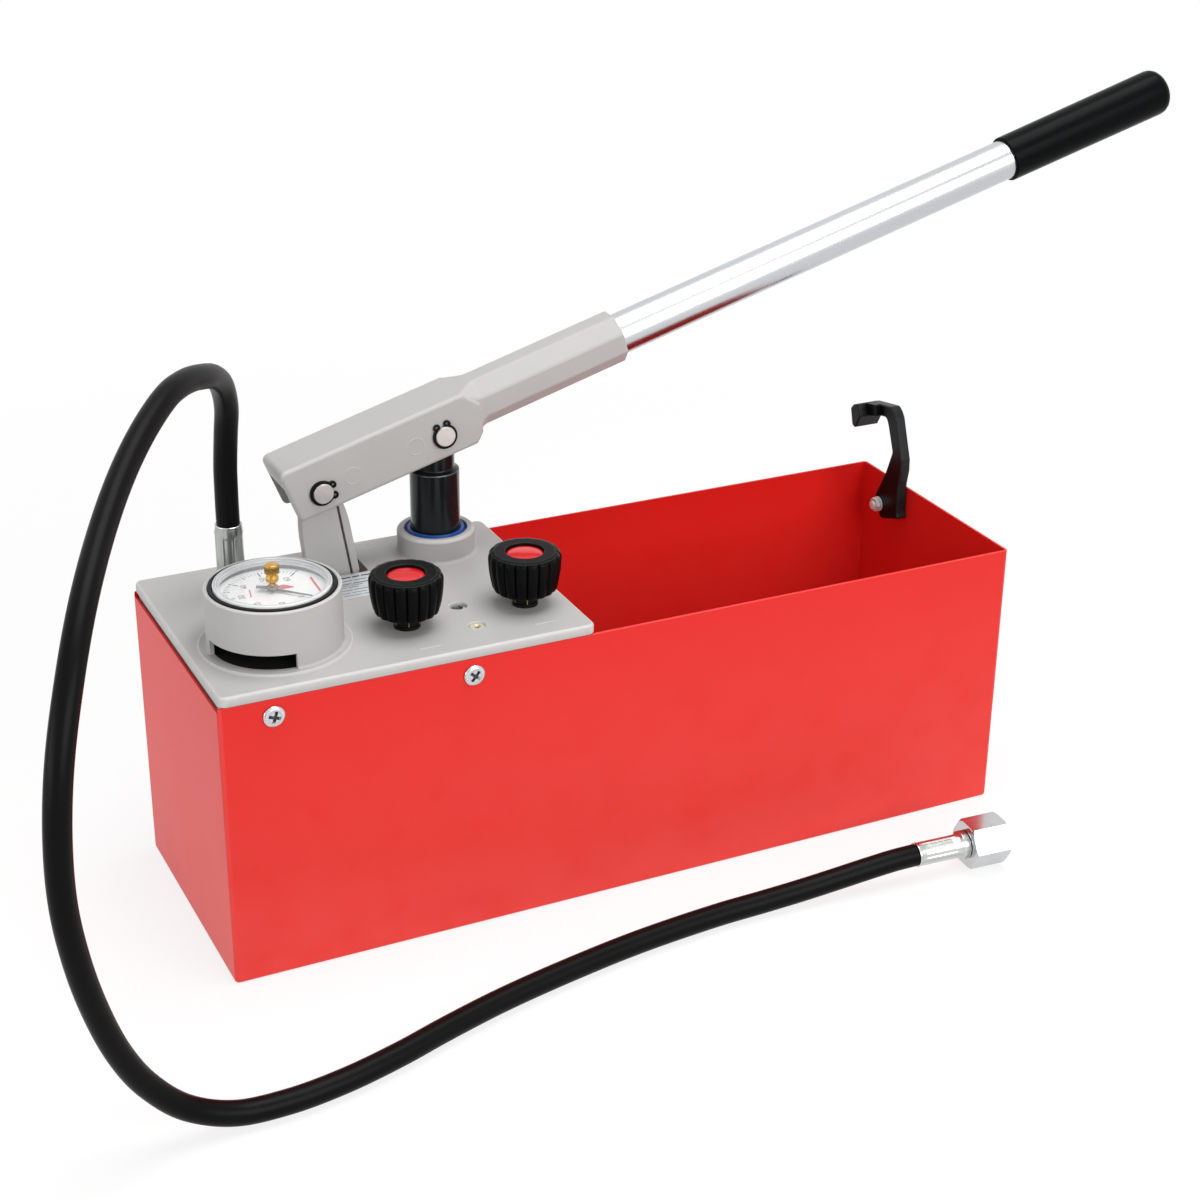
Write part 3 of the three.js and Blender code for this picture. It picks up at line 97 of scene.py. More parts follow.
class Value:
    """A number socket that adds Math nodes when it is used in a sum."""

    def __init__(self, graph: "Graph", socket: Socket) -> None:
        """Keep the graph and the socket."""
        self.graph = graph
        self.socket = socket

    def _sum(self, operation: str, left: Any, right: Any) -> "Value":
        """Add one Math node with its two terms and return its result."""
        node = self.graph.add("ShaderNodeMath", {"operation": operation}, {0: left, 1: right})
        return Value(self.graph, node.outputs[0])

    def __add__(self, other: Any) -> "Value":
        """Add another value or number."""
        return self._sum("ADD", self, other)

    __radd__ = __add__

    def __sub__(self, other: Any) -> "Value":
        """Take another value or number away."""
        return self._sum("SUBTRACT", self, other)

    def __rsub__(self, other: Any) -> "Value":
        """Take this value away from a number."""
        return self._sum("SUBTRACT", other, self)

    def __mul__(self, other: Any) -> "Value":
        """Multiply by another value or number."""
        return self._sum("MULTIPLY", self, other)

    __rmul__ = __mul__

    def __pow__(self, other: Any) -> "Value":
        """Raise to a power."""
        return self._sum("POWER", self, other)

    def between(self, low: float, high: float) -> "Value":
        """Spread the part of this value between two numbers smoothly over 0 to 1.

        Args:
            low: What becomes 0.
            high: What becomes 1.

        Returns:
            The spread value.
        """
        node = self.graph.add(
            "ShaderNodeMapRange", {"interpolation_type": "SMOOTHSTEP", "clamp": True},
            {"Value": self, "From Min": low, "From Max": high},
        )
        return Value(self.graph, node.outputs["Result"])


class Graph:
    """The node tree of a material or a world, ending in its shader."""

    def __init__(self, owner: bpy.types.ID, shader: str = "BSDF_PRINCIPLED") -> None:
        """Open the node tree of a material or a world.

        Args:
            owner: The material or world.
            shader: The type of the shader that its tree starts with.
        """
        owner.use_nodes = True
        self.owner = owner
        self.tree = owner.node_tree
        self.shader = next(node for node in self.tree.nodes if node.type == shader)
        self.output = next(node for node in self.tree.nodes if node.type.startswith("OUTPUT"))

    def feed(self, socket: Socket, value: Any) -> None:
        """Set a socket to a constant, or link it.

        Args:
            socket: The input socket.
            value: A number, colour or vector, or a Value or output socket to link.
        """
        source = value.socket if isinstance(value, Value) else value
        if isinstance(source, Socket):
            self.tree.links.new(source, socket)
        else:
            socket.default_value = source

    def add(
        self, kind: str, settings: Mapping[str, Any] | None = None,
        sockets: Mapping[str | int, Any] | None = None,
    ) -> bpy.types.Node:
        """Add a node, set it up and feed its sockets.

        Args:
            kind: The node's type.
            settings: Its properties, which are set first.
            sockets: Values or links of its inputs, by name or number.

        Returns:
            The node.
        """
        node = self.tree.nodes.new(kind)
        for name, value in (settings or {}).items():
            setattr(node, name, value)
        for name, value in (sockets or {}).items():
            self.feed(node.inputs[name], value)
        return node

    def noise(self, size: float, detail: float = 2.0, stretch: Place = (1.0, 1.0, 1.0)) -> Value:
        """Make a noise over the object's own coordinates.

        Args:
            size: The size of its blotches in millimetres.
            detail: How many finer layers it has.
            stretch: How much finer it is along each axis.

        Returns:
            The noise, around one half.
        """
        coordinates = self.add("ShaderNodeTexCoord")
        mapped = self.add(
            "ShaderNodeMapping", {}, {"Vector": coordinates.outputs["Object"], "Scale": stretch}
        )
        node = self.add(
            "ShaderNodeTexNoise", {},
            {"Vector": mapped.outputs[0], "Scale": 1 / (size * MM), "Detail": detail},
        )
        return Value(self, node.outputs[0])

    def wear(self) -> Value:
        """Read how exposed an edge is, from the mesh."""
        node = self.add("ShaderNodeAttribute", {"attribute_name": WEAR_AND_HIGHLIGHT})
        return Value(self, node.outputs["Fac"])

    def mix(self, share: Any, first: Any, second: Any) -> Socket:
        """Mix two colours by the second one's share and return the mixed colour's socket."""
        node = self.add("ShaderNodeMix", {"data_type": "RGBA"}, {0: share, 6: first, 7: second})
        return node.outputs[2]

    def bump(self, height: Value) -> Socket:
        """Turn a height in millimetres into a normal and return its socket."""
        node = self.add("ShaderNodeBump", {}, {"Strength": 1.0, "Distance": MM, "Height": height})
        return node.outputs[0]

    def shade(self, sockets: Mapping[str, Any]) -> None:
        """Feed the shader's sockets, by name."""
        for name, value in sockets.items():
            self.feed(self.shader.inputs[name], value)


@dataclass(frozen=True)
class Finish:
    """A surface: its colour, gloss, grain and edge colour.

    The mottle is a slow wander of colour and gloss, the grain a fine relief, and the edge colour
    shows on rounded outer edges, mostly as a painted highlight and on the gland as abrasion.
    """

    name: str
    slot: str
    colour: Colour
    roughness: float
    metallic: float = 0.0
    mottle: float = 0.05
    mottle_size: float = 20.0
    grain: float = 0.01
    grain_size: float = 0.6
    speckle: float = 0.1
    swell: float = 0.0
    stretch: Place = (1.0, 1.0, 1.0)
    edge: Colour | None = None
    edge_share: float = 0.6
    edge_metal: float | None = None
    specular: float = 0.5
    rough_swing: float = 0.05

    def material(self) -> bpy.types.Material:
        """Make this finish's material, once.

        Returns:
            The material.
        """
        made = bpy.data.materials.get(self.name)
        if made is None:
            made = bpy.data.materials.new(self.name)
            self.dress(Graph(made))
        return made

    def dress(self, graph: Graph) -> None:
        """Build the finish in a node tree.

        Args:
            graph: The node tree.
        """
        wander = graph.noise(self.mottle_size, 3.0, self.stretch).between(0.2, 0.8)
        fine = graph.noise(self.grain_size, 2.0, self.stretch)
        body = graph.mix(
            wander, scaled(self.colour, 1 - self.mottle), scaled(self.colour, 1 + self.mottle)
        )
        body = graph.mix(
            fine.between(0.52, 0.75) * self.speckle, body, scaled(self.colour, 0.6)
        )
        roughness = self.roughness + (wander - 0.5) * self.rough_swing
        roughness = roughness + (fine - 0.5) * self.rough_swing
        sockets: dict[str, Any] = {
            "Metallic": self.metallic,
            "Specular IOR Level": self.specular,
            "Normal": graph.bump(fine * self.grain + wander * self.swell),
        }
        # Edge colour on rounded edges: where lighter than the finish it is a painted highlight; on
        # the gland's brass corners it is abrasion.
        if self.edge is not None:
            patches = graph.noise(self.mottle_size * 0.3, 3.0).between(-0.3, 0.7)
            worn = graph.wear() * patches * self.edge_share
            body = graph.mix(worn, body, self.edge)
            if self.edge_metal is not None:
                swing = self.edge_metal - self.metallic
                sockets["Metallic"] = self.metallic + worn * swing
        sockets["Base Color"] = body
        sockets["Roughness"] = roughness
        graph.shade(sockets)


@dataclass(frozen=True)
class ClearPlastic(Finish):
    """A clear moulding that shows what lies behind it, with a near-white painted reflection that
    grows at a glancing angle and on rounded edges.
    """

    haze: float = 0.1
    glance: float = 0.45

    def dress(self, graph: Graph) -> None:
        """Build the clear finish.

        Args:
            graph: The node tree.
        """
        weight = graph.add("ShaderNodeLayerWeight", {}, {"Blend": 0.5})
        facing = Value(graph, weight.outputs["Facing"])
        streaks = graph.noise(self.mottle_size, 2.0).between(0.35, 0.7)
        # Opacity of the near-white colour paints the reflection: a base level, more at a glancing
        # angle, more on rounded edges.
        alpha = self.haze + facing ** 3.0 * self.glance + graph.wear() * 0.3
        graph.shade({
            "Base Color": self.colour,
            "Roughness": self.roughness + streaks * 0.05,
            "IOR": 1.49,
            "Alpha": alpha + streaks * 0.03,
            "Normal": graph.bump(streaks * self.grain),
        })


# Lighter edge colours below paint a highlight on rounded edges; the gland's brass edge is abrasion
# under the black.
RED_PAINT = Finish(
    "red_powder_coat", "red_paint", rgb(228, 30, 24), 0.4, mottle=0.01, mottle_size=90,
    grain=0.006, grain_size=1.6, speckle=0.03, swell=0.01, edge=rgb(240, 84, 76),
    edge_share=0.5, specular=0.36, rough_swing=0.02,
)
CAST_ALLOY = Finish(
    "satin_cast_alloy", "cast_alloy", rgb(184, 182, 180), 0.5, mottle=0.02,
    mottle_size=30, speckle=0.08, swell=0.01,
    edge=rgb(214, 213, 211), specular=0.34, rough_swing=0.06,
)
ZINC = Finish(
    "bright_zinc", "zinc_steel", rgb(200, 201, 203), 0.16, metallic=1.0, mottle_size=9,
    grain=0.002, grain_size=0.5, edge=rgb(238, 239, 240),
)
# The ferrules' strong light and dark streaks along their axis paint reflected bands.
UPRIGHT_ZINC = replace(
    ZINC, name="zinc_painted_reflection_upright", colour=rgb(172, 175, 172), roughness=0.2, mottle=0.26,
    mottle_size=3.4, speckle=0.3, stretch=(1.0, 1.0, 0.04), edge=rgb(226, 228, 228),
)
LYING_ZINC = replace(
    UPRIGHT_ZINC, name="zinc_painted_reflection_lying", colour=rgb(196, 198, 196), mottle=0.2,
    stretch=(0.04, 1.0, 1.0), edge=rgb(230, 232, 232),
)
TUBE_ZINC = replace(
    ZINC, name="drawn_zinc", colour=rgb(198, 200, 203), roughness=0.26, mottle=0.06,
    speckle=0.12, stretch=(0.02, 1.0, 1.0), edge=rgb(230, 231, 233), rough_swing=0.08,
)
PIN_STEEL = Finish(
    "ground_pin", "zinc_steel", rgb(214, 209, 206), 0.34, metallic=0.6, mottle_size=5,
    grain=0.004, grain_size=0.4, edge=rgb(150, 148, 146),
)
NUT_STEEL = Finish(
    "plated_nut", "zinc_steel", rgb(236, 236, 235), 0.24, metallic=0.35, mottle=0.04,
    mottle_size=4, grain=0.003, grain_size=0.4, edge=rgb(240, 240, 239),
)
# A dark grey that paints the shade inside the screws' cross recesses.
RECESS_PAINTED_SHADE = Finish(
    "painted_recess_shade", "dark_steel", rgb(74, 77, 80), 0.5, metallic=0.3, mottle=0.3,
    mottle_size=2, grain=0.004, grain_size=0.3, specular=0.2,
)
BLACK_OXIDE = Finish(
    "black_oxide", "dark_steel", rgb(24, 24, 26), 0.36, metallic=0.6, mottle=0.2,
    mottle_size=4, grain=0.004, grain_size=0.3, edge=rgb(80, 80, 82), specular=0.2,
)
PISTON_BLACK = Finish(
    "polished_piston", "dark_steel", rgb(38, 42, 44), 0.18, metallic=0.55, mottle=0.15,
    mottle_size=12, grain=0.001, grain_size=0.5, speckle=0.2, stretch=(1.0, 1.0, 0.05),
    edge=rgb(120, 124, 126), edge_share=0.5, specular=0.3,
)
GLAND_BLACK = Finish(
    "blackened_gland", "dark_steel", rgb(20, 19, 18), 0.36, metallic=0.3, mottle=0.3,
    mottle_size=5, grain_size=0.5, edge=rgb(236, 188, 96), edge_share=1.0,
    edge_metal=1.0, specular=0.2,
)
BRASS = Finish(
    "turned_brass", "brass", rgb(208, 162, 84), 0.13, metallic=1.0, mottle=0.12,
    mottle_size=6, grain=0.004, grain_size=0.4, speckle=0.25, edge=rgb(244, 210, 140),
)
DULL_BRASS = Finish(
    "dull_brass", "brass", rgb(120, 92, 48), 0.5, metallic=0.9, mottle=0.3, mottle_size=7,
    speckle=0.4,
)
PLUG_PALE = Finish(
    "pale_plug", "brass", rgb(206, 200, 178), 0.4, metallic=0.4, mottle=0.12, mottle_size=3,
    grain=0.006, grain_size=0.5, speckle=0.3, edge=rgb(236, 232, 214),
)
# The lighter edge colour paints highlights on the lobes' tops and the knob's top rim.
KNOB_BLACK = Finish(
    "knob_plastic", "black_plastic", rgb(8, 8, 9), 0.36, mottle=0.1, mottle_size=14,
    grain=0.008, grain_size=0.45, speckle=0.2, edge=rgb(56, 60, 61), edge_share=0.8,
    specular=0.06,
)
CASE_BLACK = Finish(
    "case_plastic", "black_plastic", rgb(14, 13, 14), 0.45, mottle=0.1, mottle_size=12,
    grain=0.008, grain_size=0.5, edge=rgb(34, 33, 34), specular=0.15,
)
GRIP_BLACK = Finish(
    "dipped_grip", "grip_plastic", rgb(10, 11, 12), 0.26, mottle=0.1, mottle_size=24,
    grain=0.002, grain_size=1.2, swell=0.02, specular=0.04, rough_swing=0.04,
)
HOOK_BLACK = Finish(
    "hook_nylon", "hook_plastic", rgb(9, 10, 10), 0.34, mottle=0.1, mottle_size=12,
    grain=0.006, edge=rgb(56, 57, 59), edge_share=0.5, specular=0.1,
)
HOSE_BLACK = Finish(
    "hose_cover", "hose_rubber", rgb(11, 11, 11), 0.36, mottle=0.12, mottle_size=30,
    grain=0.008, grain_size=0.8, speckle=0.2, specular=0.07,
)
RUBBER = Finish(
    "seal_rubber", "black_rubber", rgb(20, 20, 20), 0.7, mottle=0.15, mottle_size=6,
    grain_size=0.5, specular=0.2,
)
SEAL_BLUE = Finish(
    "blue_seal", "seal_blue", rgb(12, 62, 140), 0.3, mottle=0.08, mottle_size=8,
    grain=0.004, grain_size=0.5, edge=rgb(60, 120, 190), specular=0.25,
)
CAP_RED = Finish(
    "red_cap", "cap_red", rgb(212, 10, 22), 0.14, mottle=0.03, mottle_size=10, grain=0.003,
    grain_size=1.5, speckle=0.03, edge=rgb(226, 70, 76),
)
DIAL_WHITE = Finish(
    "dial_enamel", "dial_white", rgb(248, 247, 246), 0.5, mottle=0.02, mottle_size=16,
    grain=0.004, speckle=0.03,
)
PRINT_BLACK = Finish(
    "black_print", "black_plastic", rgb(20, 20, 22), 0.6, mottle=0.15, mottle_size=2,
    grain=0.003, grain_size=0.3, specular=0.1,
)
PRINT_GREY = replace(
    PRINT_BLACK, name="grey_print", colour=rgb(96, 102, 108), specular=0.2
)
DIAL_INK = replace(PRINT_GREY, name="dial_ink", colour=rgb(74, 76, 82))
POINTER_RED = Finish(
    "red_pointer", "pointer_red", rgb(196, 24, 40), 0.4, mottle=0.06, mottle_size=3,
    grain=0.003, grain_size=0.4, specular=0.3,
)
LABEL_FOIL = Finish(
    "label_foil", "label_silver", rgb(206, 210, 214), 0.36, metallic=0.3, mottle=0.03,
    mottle_size=8, grain=0.004, grain_size=0.4, swell=0.01, edge=rgb(240, 240, 240),
)
LENS_CLEAR = ClearPlastic(
    "clear_lens", "lens_glass", rgb(244, 247, 249), 0.03, grain=0.002, mottle_size=30,
    glance=0.2,
)
# The rim's higher opacity paints its bright band of reflection.
LENS_RIM = ClearPlastic(
    "lens_rim", "lens_glass", rgb(240, 242, 244), 0.06, grain=0.004, mottle_size=12,
    haze=0.34, glance=0.4,
)


class Lay(Enum):
    """The way that a form's own height points once it is laid: up, to the front or right."""

    UP = ((1, 0, 0), (0, 1, 0), (0, 0, 1))
    FRONT = ((1, 0, 0), (0, 0, -1), (0, 1, 0))
    RIGHT = ((0, 0, 1), (1, 0, 0), (0, 1, 0))


class Combine(Enum):
    """How two bodies are combined."""

    JOIN = "UNION"
    CUT = "DIFFERENCE"
    COMMON = "INTERSECT"


def filleted(corners: Sequence[Corner], closed: bool) -> list[Place]:
    """Round the corners of a line that have a radius.

    Args:
        corners: Points across and up, each with a radius where it is rounded. The body lies
            on the left of the line.
        closed: Whether the line's end joins its start.

    Returns:
        Points across and up, each with how exposed it is as an edge.
    """
    line: list[Place] = []
    count = len(corners)
    for at, corner in enumerate(corners):
        here = complex(*corner[:2])
        radius = corner[2] if len(corner) > 2 else 0.0
        if radius <= 0 or (not closed and at in (0, count - 1)):
            line.append((here.real, here.imag, 0.0))
            continue
        back = complex(*corners[at - 1][:2]) - here
        ahead = complex(*corners[(at + 1) % count][:2]) - here
        first, second = back / abs(back), ahead / abs(ahead)
        half = abs(cmath.phase(second / first)) / 2
        if half > math.pi / 2 - TINY:
            line.append((here.real, here.imag, 0.0))
            continue
        reach = min(radius / math.tan(half), 0.49 * abs(back), 0.49 * abs(ahead))
        inward = (first + second) / abs(first + second)
        centre = here + inward * (reach / math.cos(half))
        start = here + first * reach - centre
        sweep = cmath.phase((here + second * reach - centre) / start)
        for step in range(FILLET_STEPS + 1):
            point = centre + start * cmath.rect(1.0, sweep * step / FILLET_STEPS)
            exposed = 1.0 if sweep > 0 and 0 < step < FILLET_STEPS else 0.0
            line.append((point.real, point.imag, exposed))
    return line


def box_outline(across: Pair, up: Pair, corner: float = 0.0) -> list[Corner]:
    """Return the corners of a rectangle between two sides across and two up, with a radius."""
    (left, right), (low, high) = across, up
    return [(left, low, corner), (right, low, corner), (right, high, corner), (left, high, corner)]


def arc(
    radius: float, start: float, sweep: float, steps: int, centre: Pair = (0.0, 0.0)
) -> list[Pair]:
    """Sample a part of a circle, or a whole one without its last point.

    Args:
        radius: The circle's radius.
        start: The angle at which it starts.
        sweep: The angle that it goes through.
        steps: Its steps.
        centre: Its centre, across and up.

    Returns:
        Points across and up.
    """
    count = steps if sweep == math.tau else steps + 1
    turns = [start + sweep * at / steps for at in range(count)]
    return [(centre[0] + radius * math.cos(turn), centre[1] + radius * math.sin(turn))
            for turn in turns]


class Shape:
    """A closed body in millimetres that can be combined, bevelled and made into a piece."""

    def __init__(self) -> None:
        """Start an empty body."""
        self.work = bmesh.new()
        self.wear = self.work.verts.layers.float.new(WEAR_AND_HIGHLIGHT)

    def _vertex(self, place: Place, exposed: float = 0.0) -> bmesh.types.BMVert:
        """Add a vertex with its edge mark for abrasion and painted highlight.

        Args:
            place: Its place.
            exposed: How exposed it is as an edge, 0 to 1.

        Returns:
            The vertex.
        """
        vertex = self.work.verts.new(place)
        vertex[self.wear] = exposed
        return vertex

    def _stack(self, rings: Sequence[Sequence[bmesh.types.BMVert]], looped: bool) -> None:
        """Join neighbouring rings of vertices with faces.

        Args:
            rings: Rings of equal count, or of one vertex.
            looped: Whether the last ring joins the first.
        """
        pairs = list(zip(rings, rings[1:]))
        if looped:
            pairs.append((rings[-1], rings[0]))
        for low, high in pairs:
            count = max(len(low), len(high))
            for at in range(count if count > 1 else 0):
                after = (at + 1) % count
                loop = [low[at % len(low)], low[after % len(low)]]
                loop += [high[after % len(high)], high[at % len(high)]]
                corners = list(dict.fromkeys(loop))
                if len(corners) > 2:
                    self.work.faces.new(corners)

    def _capped(self, rings: Sequence[Sequence[bmesh.types.BMVert]]) -> None:
        """Join rings of vertices with faces and close both ends.

        Args:
            rings: Rings of equal count, the first with its face turned down.
        """
        self._stack(rings, False)
        self.work.faces.new(list(reversed(rings[0])))
        self.work.faces.new(rings[-1])

    @classmethod
    def turned(
        cls, profile: Sequence[Corner], lay: Lay = Lay.UP, sides: int = ROUND_SIDES,
        closed: bool = False, wave: Wave | None = None,
    ) -> Self:
        """Turn a profile about its height axis.

        Args:
            profile: Radius, height and rounding of each corner, from the bottom outward.
            lay: The way the height points.
            sides: How many sides the circle has.
            closed: Whether the profile is a closed ring.
            wave: A function of radius, height and angle that gives the radius there.

        Returns:
            The turned body.
        """
        shape = cls()
        rings = []
        for radius, height, exposed in filleted(profile, closed):
            if radius < TINY:
                rings.append([shape._vertex((0.0, 0.0, height), exposed)])
                continue
            loop = []
            for at in range(sides):
                turn = math.tau * at / sides
                reach = wave(radius, height, turn) if wave else radius
                place = (reach * math.cos(turn), reach * math.sin(turn), height)
                loop.append(shape._vertex(place, exposed))
            rings.append(loop)
        shape._stack(rings, closed)
        return shape.laid(lay)

    @classmethod
    def extruded(
        cls, outline: Sequence[Corner], low: float, high: float, lay: Lay = Lay.UP,
        rims: Pair = (0.0, 0.0),
    ) -> Self:
        """Raise a closed outline, with rounded lower and upper rims.

        Args:
            outline: The corners, each with a radius where it is rounded.
            low: The lower height.
            high: The upper height.
            lay: The way the height points.
            rims: The rounding of the lower and the upper rim.

        Returns:
            The raised body.
        """
        count = len(outline)
        area = sum(
            outline[at][0] * outline[(at + 1) % count][1]
            - outline[(at + 1) % count][0] * outline[at][1]
            for at in range(count)
        )
        corners = list(outline) if area > 0 else list(reversed(outline))
        line = filleted(corners, True)
        points = [complex(across, up) for across, up, _ in line]
        miters = []
        for at, point in enumerate(points):
            before = point - points[at - 1]
            after = points[(at + 1) % len(points)] - point
            left = before / abs(before) * 1j if abs(before) > TINY else 0j
            right = after / abs(after) * 1j if abs(after) > TINY else left
            left = left or right
            share = 1 + (left * right.conjugate()).real
            miters.append((left + right) / max(share, 0.3))
        shape = cls()
        lower, upper = rims
        levels: list[Pair] = []
        for step in range(RIM_STEPS + 1 if lower > 0 else 1):
            turn = math.pi / 2 * (step / RIM_STEPS if lower > 0 else 1.0)
            levels.append((low + lower * (1 - math.cos(turn)), lower * (1 - math.sin(turn))))
        for step in range(RIM_STEPS + 1 if upper > 0 else 1):
            turn = math.pi / 2 * (1 - step / RIM_STEPS if upper > 0 else 1.0)
            levels.append((high - upper * (1 - math.cos(turn)), upper * (1 - math.sin(turn))))
        rings = []
        for height, inset in levels:
            on_rim = (0 < height - low < lower) or (0 < high - height < upper)
            ring = []
            for point, miter, (_, _, exposed) in zip(points, miters, line):
                place = point + miter * inset
                worn = 1.0 if on_rim else exposed * float(0 < height - low < high - low)
                ring.append(shape._vertex((place.real, place.imag, height), worn))
            rings.append(ring)
        shape._capped(rings)
        return shape.laid(lay)

    @classmethod
    def lofted(cls, sections: Sequence[Sequence[Place]]) -> Self:
        """Join closed sections into one body.

        Args:
            sections: The corners of each section, in equal number, from end to end.

        Returns:
            The lofted body.
        """
        shape = cls()
        shape._capped([[shape._vertex(place) for place in section] for section in sections])
        return shape

    @classmethod
    def block(cls, x: Pair, y: Pair, z: Pair) -> Self:
        """Make a plain box to cut or join with."""
        return cls.extruded(box_outline(x, y), z[0], z[1])

    @classmethod
    def disc(
        cls, radius: float, low: float, high: float, lay: Lay = Lay.UP, sides: int = 64
    ) -> Self:
        """Make a plain round bar to cut or join with."""
        return cls.turned([(0, low), (radius, low), (radius, high), (0, high)], lay, sides)

    @classmethod
    def ring(
        cls, radii: Pair, low: float, high: float, lay: Lay = Lay.UP, sides: int = ROUND_SIDES
    ) -> Self:
        """Make a plain round ring of an inner and an outer radius."""
        return cls.turned(box_outline(radii, (low, high)), lay, sides, closed=True)

    @classmethod
    def hexagon(
        cls, flats: float, low: float, high: float, chamfer: float, lay: Lay = Lay.UP
    ) -> Self:
        """Make a hexagon bar with chamfered ends.

        Args:
            flats: The width across its flats.
            low: The lower height.
            high: The upper height.
            chamfer: How far its corners are turned off.
            lay: The way the height points.

        Returns:
            The bar.
        """
        corner = flats / 2 / math.cos(math.pi / 6)
        outline = [(*point, 0.4) for point in arc(corner, 0.0, math.tau, 6)]
        bar = cls.extruded(outline, low, high, lay)
        inner = corner - chamfer * 1.6
        turned = cls.turned(
            [(0, low), (inner, low), (corner, low + chamfer), (corner, high - chamfer),
             (inner, high), (0, high)],
            lay,
        )
        return bar.combined(Combine.COMMON, turned)

    def laid(self, lay: Lay) -> Self:
        """Turn the body so that its height points another way."""
        self.work.transform(Matrix(lay.value).to_4x4())
        return self

    def put(self, matrix: Matrix) -> Self:
        """Move the body by a matrix."""
        self.work.transform(matrix)
        return self

    def moved(self, x: float = 0.0, y: float = 0.0, z: float = 0.0) -> Self:
        """Move the body along the axes."""
        return self.put(Matrix.Translation((x, y, z)))

    def turned_by(self, degrees: float, axis: str = "Z") -> Self:
        """Turn the body about an axis through its origin."""
        return self.put(Matrix.Rotation(math.radians(degrees), 4, axis))

    def mesh(self, name: str) -> bpy.types.Mesh:
        """Write the body to a mesh.

        Args:
            name: The mesh's name.

        Returns:
            The mesh, in millimetres.
        """
        bmesh.ops.recalc_face_normals(self.work, faces=self.work.faces[:])
        made = bpy.data.meshes.new(name)
        self.work.to_mesh(made)
        return made

    def take(self, mesh: bpy.types.Mesh) -> Self:
        """Add what a mesh holds to this body, and drop the mesh.

        Args:
            mesh: The mesh.

        Returns:
            This body, changed.
        """
        self.work.from_mesh(mesh)
        self.wear = self.work.verts.layers.float.get(WEAR_AND_HIGHLIGHT) or self.work.verts.layers.float.new(WEAR_AND_HIGHLIGHT)
        bpy.data.meshes.remove(mesh)
        return self

    def beside(self, *others: "Shape") -> Self:
        """Put other bodies that don't touch this one into the same piece.

        Args:
            others: The other bodies, which are used up.

        Returns:
            This body, changed.
        """
        for other in others:
            self.take(other.mesh("beside"))
            other.work.free()
        return self

    def combined(self, how: Combine, *others: "Shape") -> Self:
        """Join, cut or intersect this body with others.

        Args:
            how: The operation.
            others: The other bodies, which are used up.

        Returns:
            This body, changed.
        """
        target = linked("combined", self.mesh("combined"))
        tools = []
        for other in others:
            tools.append(linked("tool", other.mesh("tool")))
            other.work.free()
            modifier = target.modifiers.new("combine", "BOOLEAN")
            modifier.operation = how.value
            modifier.solver = "EXACT"
            modifier.object = tools[-1]
        result = evaluated(target)
        for item in (target, *tools):
            spare = item.data
            bpy.data.objects.remove(item)
            bpy.data.meshes.remove(spare)
        self.work.clear()
        self.take(result)
        bmesh.ops.remove_doubles(self.work, verts=self.work.verts[:], dist=0.004)
        bmesh.ops.dissolve_degenerate(self.work, edges=self.work.edges[:], dist=0.002)
        return self

    def cut(self, *tools: "Shape") -> Self:
        """Cut tools out of this body."""
        return self.combined(Combine.CUT, *tools)

    def bevelled(
        self, width: float, segments: int = 3, angle: float = 34.0,
        where: Callable[[bmesh.types.BMEdge], bool] | None = None,
    ) -> Self:
        """Round the body's sharp edges.

        Args:
            width: The bevel's width.
            segments: Its steps.
            angle: The least angle of an edge that is rounded, in degrees.
            where: A test that an edge has to pass.

        Returns:
            This body, changed.
        """
        bmesh.ops.dissolve_limit(
            self.work, angle_limit=math.radians(0.2), verts=self.work.verts[:],
            edges=self.work.edges[:],
        )
        least = math.radians(angle)
        edges = [
            edge for edge in self.work.edges
            if len(edge.link_faces) == 2 and edge.calc_face_angle(0.0) > least
            and (where is None or where(edge))
        ]
        outer = {vertex.index for edge in edges if edge.is_convex for vertex in edge.verts}
        made = bmesh.ops.bevel(
            self.work, geom=edges, offset=width, offset_type="OFFSET", segments=segments,
            profile=0.5, affect="EDGES", clamp_overlap=True,
        )
        fresh = set(made["faces"])
        for face in fresh:
            for vertex in face.verts:
                if outer and all(other in fresh for other in vertex.link_faces):
                    vertex[self.wear] = 1.0
        return self

    def worn(self, exposed: Callable[[Vector], float]) -> Self:
        """Set each vertex's edge mark, for abrasion and painted highlight, anew.

        Args:
            exposed: A function of the vertex's place that gives its edge mark.

        Returns:
            This body, changed.
        """
        for vertex in self.work.verts:
            vertex[self.wear] = exposed(vertex.co)
        return self

    def piece(
        self, name: str, finish: Finish, body: str, replaces: Sequence[str] = (),
        place: Matrix | None = None, sharp: float = 34.0,
    ) -> Item:
        """Make the body a dressed piece that rides on a CAD body.

        Args:
            name: The piece's name.
            finish: Its finish.
            body: The CAD body that it rides on.
            replaces: CAD nodes that it stands for.
            place: Where its own frame stands, in millimetres.
            sharp: The angle from which an edge shades sharply, in degrees.

        Returns:
            The piece.
        """
        self.work.transform(Matrix.Scale(MM, 4))
        made = linked(name, self.mesh(name))
        self.work.free()
        made.data.polygons.foreach_set("use_smooth", [True] * len(made.data.polygons))
        made.data.set_sharp_from_angle(angle=math.radians(sharp))
        modifier = made.modifiers.new("even_shading", "WEIGHTED_NORMAL")
        modifier.keep_sharp = True
        modifier.weight = 100
        result = evaluated(made)
        made.modifiers.clear()
        spare = made.data
        made.data = result
        bpy.data.meshes.remove(spare)
        made.data.name = name
        if place is not None:
            world = place.copy()
            world.translation = world.translation * MM
            made.matrix_world = world
        return dress(made, finish, body, replaces)


